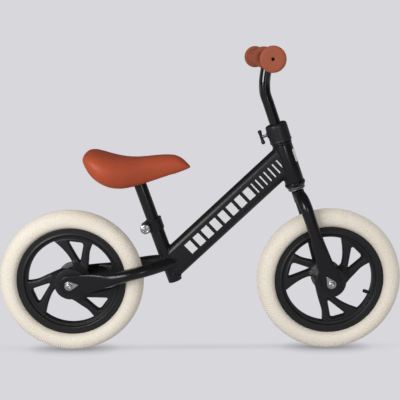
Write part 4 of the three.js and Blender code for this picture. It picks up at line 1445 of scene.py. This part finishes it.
# ------------------------------------------------------------------ handlebar
@dataclass
class Handlebar:
    """Gloss stem, welded crossbar and two mushroom grips."""

    finishes: Finishes
    tube_r: float = 11.1
    bar_x: float = 137.0
    bar_z: float = 601.0
    sweep: float = 6.0
    bend_y: float = 98.0
    grip_end: float = 213.2

    def axis_point(self, s: float) -> tuple:
        """Point of the steering axis at a height along it."""
        return (STEER_FOOT[0] - s * math.sin(TILT), 0.0, STEER_FOOT[1] + s * math.cos(TILT))

    def stem(self) -> None:
        """Stem: straight in the steerer, then bent upright to the crossbar."""
        route = [self.axis_point(s) for s in (237, 260, 300, 345, 385)]
        route += [(130.6, 0, 532), (129.3, 0, 551), (131.6, 0, 574), (self.bar_x, 0, self.bar_z)]
        points = swept(path_through(route, 150), (0, 1, 0), oval(self.tube_r, self.tube_r, 2.0, 72))
        shell = Shell().grid(points, ends=True)
        angle = np.arange(216) * TURN / 216
        tilt = math.radians(13)
        across_bar = self.tube_r * np.cos(angle)
        line = np.stack([self.bar_x + across_bar - 2.2 * math.sin(tilt),
                         self.tube_r * np.sin(angle),
                         self.bar_z - np.sqrt(np.clip(self.tube_r ** 2 - across_bar ** 2, 1.2, None))], -1)
        swell = 1.5 * (1 + 0.14 * np.cos(np.arange(216) * TURN / 9))
        out = line - line.mean(0)
        out /= np.linalg.norm(out, axis=1, keepdims=True)
        tangent = np.roll(line, -1, 0) - np.roll(line, 1, 0)
        tangent /= np.linalg.norm(tangent, axis=1, keepdims=True)
        over = np.cross(tangent, out)
        turn = np.arange(10) * TURN / 10
        bead = line[:, None] + swell[:, None, None] * (
            np.cos(turn)[None, :, None] * out[:, None] + np.sin(turn)[None, :, None] * over[:, None])
        shell.grid(bead, rows=True)
        shell.piece("stem_bent_tube", Body.HANDLEBAR, Slot.GLOSS_PAINT, self.finishes.gloss,
                    ["handlebar_stem"], crease=60)

    def swept_back(self, y: float) -> float:
        """X of the bar beyond its bend."""
        return self.bar_x - (y - self.bend_y) * math.tan(math.radians(self.sweep))

    def crossbar(self) -> None:
        """Crossbar: straight in the middle, swept back a little under each grip."""
        reach = self.grip_end - 7
        half = [(self.bar_x, 30), (self.bar_x, 84), (self.bar_x - 0.4, self.bend_y),
                (self.swept_back(116), 116), (self.swept_back(150), 150), (self.swept_back(reach), reach)]
        route = [(x, -y, self.bar_z) for x, y in reversed(half)] + [(x, y, self.bar_z) for x, y in half]
        points = swept(path_through(route, 150), (0, 0, 1), oval(self.tube_r, self.tube_r, 2.0, 64))
        Shell().grid(points, ends=True).piece(
            "crossbar_tube", Body.HANDLEBAR, Slot.GLOSS_PAINT, self.finishes.gloss, ["handlebar_crossbar"])

    def grips(self) -> None:
        """Grips: a hollow body with finger ribs between two round flanges, a vent hole in its end.

        The ribs add 0.5 |cos| to the body's radius, once every 6 mm.
        """
        length = self.grip_end - self.bend_y
        inner = [(self.tube_r + 0.2, 6), (13.5, 6), (20.8, 6.6), (22.4, 8.6), (22.4, 10.6),
                 (20.8, 12.6), (18.0, 14.6)]
        body_at = np.linspace(16, length - 16, 150)
        waist = 17.0 + 0.6 * ((body_at - length / 2) / (length / 2 - 16)) ** 2 + 0.9 * body_at / length
        fade = ease(body_at, 18, 24) * (1 - ease(body_at, length - 24, length - 18))
        body = np.stack([waist + 0.5 * fade * np.abs(np.cos(body_at * math.pi / 6.0)), body_at], -1)
        outer = [(18.4, length - 13), (20.4, length - 10), (22.6, length - 8.2), (23.4, length - 5.6),
                 (23.2, length - 2.2), (21.2, length - 0.5), (17.5, length - 0.1), (10, length - 0.5),
                 (4.4, length - 0.9), (2.8, length - 1.6), (2.8, length - 6), (self.tube_r + 0.2, length - 6)]
        profile = np.concatenate([rounded(inner, 1.6, 5)[5:], body, rounded(outer, 1.1, 5)[:-5]])
        closing = np.array([(self.tube_r + 0.2, length - 6), (self.tube_r + 0.2, 6), (13.5, 6)])
        profile = np.concatenate([profile, closing])
        for side, sign in SIDES:
            turned_grip = spin_about_z(on_axle(turned(profile, 110)), self.sweep)
            points = across_y(turned_grip + np.array([self.bar_x, self.bend_y, self.bar_z]), sign)
            Shell().grid(points, rows=True).piece(
                f"grip_{side}_ribbed", Body.HANDLEBAR, Slot.GRIP_RUBBER, self.finishes.grip,
                [f"{side}_grip"], crease=50)

    def build(self) -> None:
        """Make the handlebar's pieces."""
        self.stem()
        self.crossbar()
        self.grips()


# ------------------------------------------------------------------ saddle
@dataclass
class Saddle:
    """Moulded foam saddle with a raised tail, a dip and a slim nose, on its base and post."""

    finishes: Finishes
    top: tuple = ((-232, 405.5), (-230.5, 412), (-224.5, 417.8), (-213, 419.8), (-198, 417), (-181, 412),
                  (-163, 407.8), (-145, 405.2), (-126, 404.8), (-107, 406.2), (-85, 408.5), (-64, 409.4),
                  (-50, 408.2), (-41, 404.8), (-33, 399.4), (-26, 392.6), (-20.5, 386.2), (-19.4, 384.2))
    low: tuple = ((-232, 405.5), (-232, 399), (-228, 389.6), (-220.8, 376.9), (-210.2, 364.7), (-196, 354.3),
                  (-179, 346.6), (-156, 343.6), (-134, 346.4), (-108, 353.2), (-80, 362), (-58, 369.4),
                  (-40, 375.6), (-26, 381), (-19.4, 384.2))
    half_width: tuple = ((0, 44), (0.1, 60), (0.2, 68), (0.3, 68.5), (0.42, 60), (0.55, 46), (0.68, 35),
                         (0.8, 28.5), (0.9, 24.5), (1, 20))
    post_r: float = 12.7
    post_wall: float = 1.6
    post_span: tuple = (45.0, 230.0)

    def form(self, rows: int, columns: int) -> tuple:
        """Surface of the saddle.

        Row t joins a point of the upper line to one of the lower line. Across it runs a
        superellipse, rounder above than below, whose half width closes at both ends as
        (1 - |2t - 1|^6)^(1/6).

        Args:
            rows: stations from tail to nose.
            columns: points round each section.

        Returns:
            The grid, each section's height share from -1 below to 1 above, and each row's half width.
        """
        share = (1 - np.cos(np.linspace(0, math.pi, rows))) / 2
        upper, lower = path_through(self.top, 400), path_through(self.low, 400)
        at = share * 399
        index = np.arange(400)
        top = np.stack([np.interp(at, index, upper[:, k]) for k in (0, 1)], -1)
        low = np.stack([np.interp(at, index, lower[:, k]) for k in (0, 1)], -1)
        knots, halves = np.array(self.half_width).T
        wide = smooth_through(knots, halves, share) * (1 - np.abs(2 * share - 1) ** 6) ** (1 / 6)
        angle = np.arange(columns) * TURN / columns
        c, s = np.cos(angle), np.sin(angle)
        power = 2.45 + 0.9 * ease(-s, -0.1, 0.9)
        across = np.sign(c) * np.abs(c) ** (2 / power)
        height = np.sign(s) * np.abs(s) ** (2 / power)
        middle, up = (top + low) / 2, (top - low) / 2
        x = middle[:, :1] + up[:, :1] * height[None]
        z = middle[:, 1:] + up[:, 1:] * height[None]
        return np.stack([x, wide[:, None] * across[None], z], -1), height, wide

    def pad(self) -> None:
        """Foam pad, with a shallow well underneath where its base sits."""
        points, height, wide = self.form(150, 112)
        y_share = np.abs(points[..., 1]) / np.maximum(wide[:, None], 1)
        inside = (1 - ease(y_share, 0.62, 0.74)) * (height[None] < -0.5)
        ends = ease(points[..., 0], -214, -204) * (1 - ease(points[..., 0], -66, -52))
        points[..., 2] += 5.0 * inside * ends
        pad = Shell().grid(points).piece("saddle_moulded_pad", Body.SEAT, Slot.SADDLE_COVER,
                                         self.finishes.skin, ["saddle_pad"], crease=70)

    def base(self) -> None:
        """Ribbed base plate in the well: the pad's own underside, narrowed, a few millimetres up.

        Each rib is a soft hill exp(-(distance / width)^2) that hangs from the plate.
        """
        points, height, wide = self.form(150, 112)
        under = points[28:118][:, height < -0.5]
        x, z = under[..., 0], under[..., 2].min(1)[:, None]
        half = wide[28:118][:, None] * 0.6
        share = np.linspace(-1, 1, 41)[None]
        rim = (1 - np.abs(np.linspace(-1, 1, 90)) ** 8) ** (1 / 8)
        y = half * rim[:, None] * share
        x = np.broadcast_to(x.mean(1, keepdims=True), y.shape)
        rib = 1.4 * (np.exp(-((np.abs(y) - 16) / 1.6) ** 2) + np.exp(-((np.abs(x + 150) - 38) / 1.6) ** 2))
        floor = z + 4.2 - rib
        lower = np.stack([x, y, floor], -1)
        upper = np.stack([x, y, np.broadcast_to(z + 7.5, y.shape)], -1)[:, ::-1]
        Shell().grid(np.concatenate([lower, upper], 1), ends=True).piece(
            "saddle_base_plate", Body.SEAT, Slot.MOULDED_BLACK, self.finishes.moulded,
            ["saddle_base"], crease=45)

    def post(self) -> None:
        """Seat post: a drawn tube with eased ends."""
        profile = ring_profile(self.post_r - self.post_wall, self.post_r, *self.post_span, 0.6)
        Shell().lathe(profile, Placing(SEAT_FOOT), 96).piece(
            "seat_post_drawn", Body.SEAT, Slot.GLOSS_PAINT, self.finishes.frame, ["seat_post"])

    def bracket(self) -> None:
        """Pressed bracket: a short cup round the post's top under a small plate with turned edges."""
        place = Placing(SEAT_FOOT)
        shell = Shell().lathe(ring_profile(12.85, 15.2, 214, 234, 0.5), place, 80)
        share = np.linspace(-1, 1, 60)
        half = 17.0 * (1 - np.abs(share) ** 6) ** (1 / 6) + 0.4
        section = rounded([(-1, -1), (1, -1), (1, 1), (-1, 1)], 0.2, 4)
        x = np.broadcast_to((-126.0 + 26.0 * share)[:, None], (60, len(section)))
        y = half[:, None] * section[None, :, 0]
        z = 360.4 + 1.6 * section[None, :, 1] + 0.0 * y
        shell.grid(np.stack([x, y, z], -1), ends=True)
        shell.piece("saddle_bracket_pressed", Body.SEAT, Slot.BEARING_STEEL, self.finishes.moulded,
                    ["saddle_bracket"], crease=40)

    def build(self) -> None:
        """Make the saddle's pieces."""
        self.pad()
        self.base()
        self.post()
        self.bracket()


# ------------------------------------------------------------------ hidden CAD pieces
class CadPieces:
    """CAD nodes that stay as they are and only take a finish."""

    def __init__(self, finishes: Finishes) -> None:
        """Pair each slot with its finish.

        Args:
            finishes: the bike's materials.
        """
        self.by_slot = {
            "frame_paint": finishes.frame, "gloss_paint": finishes.gloss,
            "moulded_black": finishes.moulded, "cream_tyre": finishes.tyre,
            "tube_rubber": finishes.tube, "saddle_cover": finishes.skin,
            "grip_rubber": finishes.grip, "bright_steel": finishes.bright,
            "bearing_steel": finishes.bearing,
        }

    def dress(self) -> None:
        """Give every CAD node the finish of its slot."""
        slots = {part["node"]: part["material_slot"] for part in frame["record"]["subparts"]}
        for name, node in frame["nodes"].items():
            node.data.materials.clear()
            node.data.materials.append(self.by_slot[slots[name]])
            if not node.hide_render:
                log.info("%s: CAD node kept, %s", name, slots[name])


# ------------------------------------------------------------------ studio
@dataclass
class Studio:
    """Pale floor and backdrop, soft lights and the camera."""

    backdrop: tuple = (0.686, 0.679, 0.716)
    camera_at: tuple = (-14.4, -1644.54, 621.41)
    yaw: float = -0.00876
    pitch: float = 0.18364
    roll: float = -0.00424
    lens: float = 73.864
    haze: float = 0.6
    gloom: float = 0.05
    bounce: float = 0.62
    mirror: float = 0.36
    contact_shade: float = 0.42
    band_shade: float = 0.16
    corner_shade: float = 0.35

    def camera(self) -> None:
        """Camera to the bike's right, a little above it, looking slightly down."""
        cy, sy = math.cos(self.yaw), math.sin(self.yaw)
        cp, sp = math.cos(self.pitch), math.sin(self.pitch)
        cr, sr = math.cos(self.roll), math.sin(self.roll)
        ahead = Vector((-sy * cp, cy * cp, -sp))
        right = Vector((cy, sy, 0.0))
        up = right.cross(ahead)
        rolled_right = cr * right + sr * up
        rolled_up = cr * up - sr * right
        data = bpy.data.cameras.new("camera")
        data.sensor_width = 36.0
        data.lens = self.lens
        data.clip_start, data.clip_end = 0.05, 50.0
        camera = bpy.data.objects.new("camera", data)
        turn = Matrix((rolled_right, rolled_up, -ahead)).transposed().to_4x4()
        camera.matrix_world = Matrix.Translation(Vector(self.camera_at) * MM) @ turn
        bpy.context.scene.collection.objects.link(camera)
        bpy.context.scene.camera = camera

    def softbox(self, name: str, at: tuple, to: tuple, size: tuple, radiance: float,
                diffuse: bool = True, glossy: bool = True) -> None:
        """Rectangular light.

        Args:
            name: its name.
            at: where it stands, in metres.
            to: what it faces.
            size: width and height in metres.
            radiance: brightness of its face, in watts a square metre and steradian.
            diffuse: whether it lights matt surfaces.
            glossy: whether it shows as a highlight.
        """
        data = bpy.data.lights.new(name, "AREA")
        data.shape = "RECTANGLE"
        data.size, data.size_y = size
        data.energy = radiance * math.pi * size[0] * size[1]
        lamp = bpy.data.objects.new(name, data)
        lamp.location = at
        lamp.rotation_mode = "QUATERNION"
        lamp.rotation_quaternion = (Vector(at) - Vector(to)).to_track_quat("Z", "Y")
        lamp.visible_diffuse = diffuse
        lamp.visible_glossy = glossy
        bpy.context.scene.collection.objects.link(lamp)

    def lights(self) -> None:
        """Soft key at the left of the camera, a weak fill at its right, and highlights of their own.

        The key's highlight and a small one near the camera draw the streaks on the paint, and two
        dim cards behind the bike draw its outer edges.
        """
        middle = (0.0, 0.0, 0.35)
        self.softbox("key", (-1.25, -1.75, 0.8), middle, (1.5, 1.1), 5.2, glossy=False)
        self.softbox("key_sheen", (-1.35, -1.75, 0.9), middle, (1.0, 0.8), 8.0, diffuse=False)
        self.softbox("front_sheen", (0.5, -2.1, 0.75), middle, (0.3, 0.5), 7.0, diffuse=False)
        self.softbox("card_left", (-2.3, 1.3, 0.7), middle, (2.0, 2.0), 0.25, diffuse=False)
        self.softbox("card_right", (2.3, 1.3, 0.7), middle, (2.0, 2.0), 0.2, diffuse=False)
        self.softbox("fill", (1.6, -1.9, 0.9), middle, (1.2, 1.2), 1.1, glossy=False)

    def world(self) -> None:
        """Backdrop grey for the camera, softer for matt surfaces and nearly dark for highlights."""
        world = bpy.data.worlds.new("studio")
        world.use_nodes = True
        tree = world.node_tree
        tree.nodes.clear()
        path = tree.nodes.new("ShaderNodeLightPath")
        sky = tree.nodes.new("ShaderNodeBackground")
        dim = tree.nodes.new("ShaderNodeBackground")
        dark = tree.nodes.new("ShaderNodeBackground")
        first, second = (tree.nodes.new("ShaderNodeMixShader") for _ in range(2))
        out = tree.nodes.new("ShaderNodeOutputWorld")
        sky.inputs["Color"].default_value = (*self.backdrop, 1)
        dim.inputs["Color"].default_value = (0.96, 0.965, 1.0, 1)
        dim.inputs["Strength"].default_value = self.haze
        dark.inputs["Color"].default_value = (0.96, 0.965, 1.0, 1)
        dark.inputs["Strength"].default_value = self.gloom
        links = (
            (path.outputs["Is Glossy Ray"], first.inputs[0]), (dim.outputs[0], first.inputs[1]),
            (dark.outputs[0], first.inputs[2]), (path.outputs["Is Camera Ray"], second.inputs[0]),
            (first.outputs[0], second.inputs[1]), (sky.outputs[0], second.inputs[2]),
            (second.outputs[0], out.inputs["Surface"]),
        )
        for source, target in links:
            tree.links.new(source, target)
        bpy.context.scene.world = world

    def floor(self) -> None:
        """Round floor as bright as the backdrop, darker under each wheel and faintly between them.

        Shade at each contact = contact_shade exp(-(along / 78)^2 - (across / 21)^2), in millimetres,
        with a fainter band of the same form between the wheels, and corner_shade more where
        something all but touches the floor.
        """
        graph = Graph("studio_floor")
        place = graph.place()
        along = graph.dot(place, (1.0, 0.0, 0.0)) / MM
        across = graph.dot(place, (0.0, 1.0, 0.0)) / MM
        near = graph.node("ShaderNodeAmbientOcclusion", {"samples": 12}, {"Distance": 0.03}, "AO")
        under = across.hill(21.0)
        wheels = (along + WHEEL_BASE / 2).hill(78.0) + (along - WHEEL_BASE / 2).hill(78.0)
        between = (across - 5.0).hill(15.0) * (along / 330.0).hill(1.0)
        shade = wheels * under * self.contact_shade + between * self.band_shade
        shade = shade + (1.0 - near) * self.corner_shade
        colour = graph.mix(shade.math("MINIMUM", 0.92), self.backdrop, (0.17, 0.17, 0.185))
        glow = graph.node("ShaderNodeEmission", None, {"Color": colour, "Strength": 1.0})
        tone = (*self.backdrop, 1)
        bounce = graph.node("ShaderNodeEmission", None, {"Color": tone, "Strength": self.bounce})
        mirror = graph.node("ShaderNodeEmission", None, {"Color": tone, "Strength": self.mirror})
        seen = graph.node("ShaderNodeLightPath", None, None, "Is Camera Ray")
        shiny = graph.node("ShaderNodeLightPath", None, None, "Is Glossy Ray")
        other = graph.node("ShaderNodeMixShader", None, {0: shiny, 1: bounce, 2: mirror})
        graph.node_output(graph.node("ShaderNodeMixShader", None, {0: seen, 1: other, 2: glow}))
        angle = np.arange(96) * TURN / 96
        radius = np.array([0.0, 1.0, 3.0, 12.0])
        points = np.stack([radius[None] * np.cos(angle)[:, None], radius[None] * np.sin(angle)[:, None],
                           np.zeros((96, 4))], -1).reshape(-1, 3)
        index = np.arange(96 * 4).reshape(96, 4)
        index = np.vstack([index, index[:1]])
        quads = np.stack([index[:-1, :-1], index[1:, :-1], index[1:, 1:], index[:-1, 1:]], -1)
        mesh = bpy.data.meshes.new("floor")
        mesh.from_pydata((points - np.array([0, 0, 0.0004])).tolist(), [], quads.reshape(-1, 4).tolist())
        mesh.materials.append(graph.material)
        floor = bpy.data.objects.new("floor", mesh)
        bpy.context.scene.collection.objects.link(floor)

    def build(self) -> None:
        """Set the whole studio."""
        self.camera()
        self.lights()
        self.world()
        self.floor()
        bpy.context.scene.view_settings.view_transform = "Standard"


def main() -> None:
    """Build the bike's looks and the studio in order."""
    logging.basicConfig(level=logging.INFO, format="%(name)s %(message)s")
    Studio().build()
    finishes = Finishes()
    MainFrame(finishes).build()
    Fork(finishes).build()
    Handlebar(finishes).build()
    Saddle(finishes).build()
    for end, body, x, spokes, axle_body, washer in (
            ("rear", Body.REAR_WHEEL, -WHEEL_BASE / 2, 79.8, Body.FRAME, 8.0),
            ("front", Body.FRONT_WHEEL, WHEEL_BASE / 2, 42.8, Body.FORK, 123.0)):
        Wheel(end, body, x, spokes, finishes).build()
        AxleEnds(end, axle_body, washer, x, finishes).build()
    CadPieces(finishes).dress()


if __name__ == "__main__":
    main()
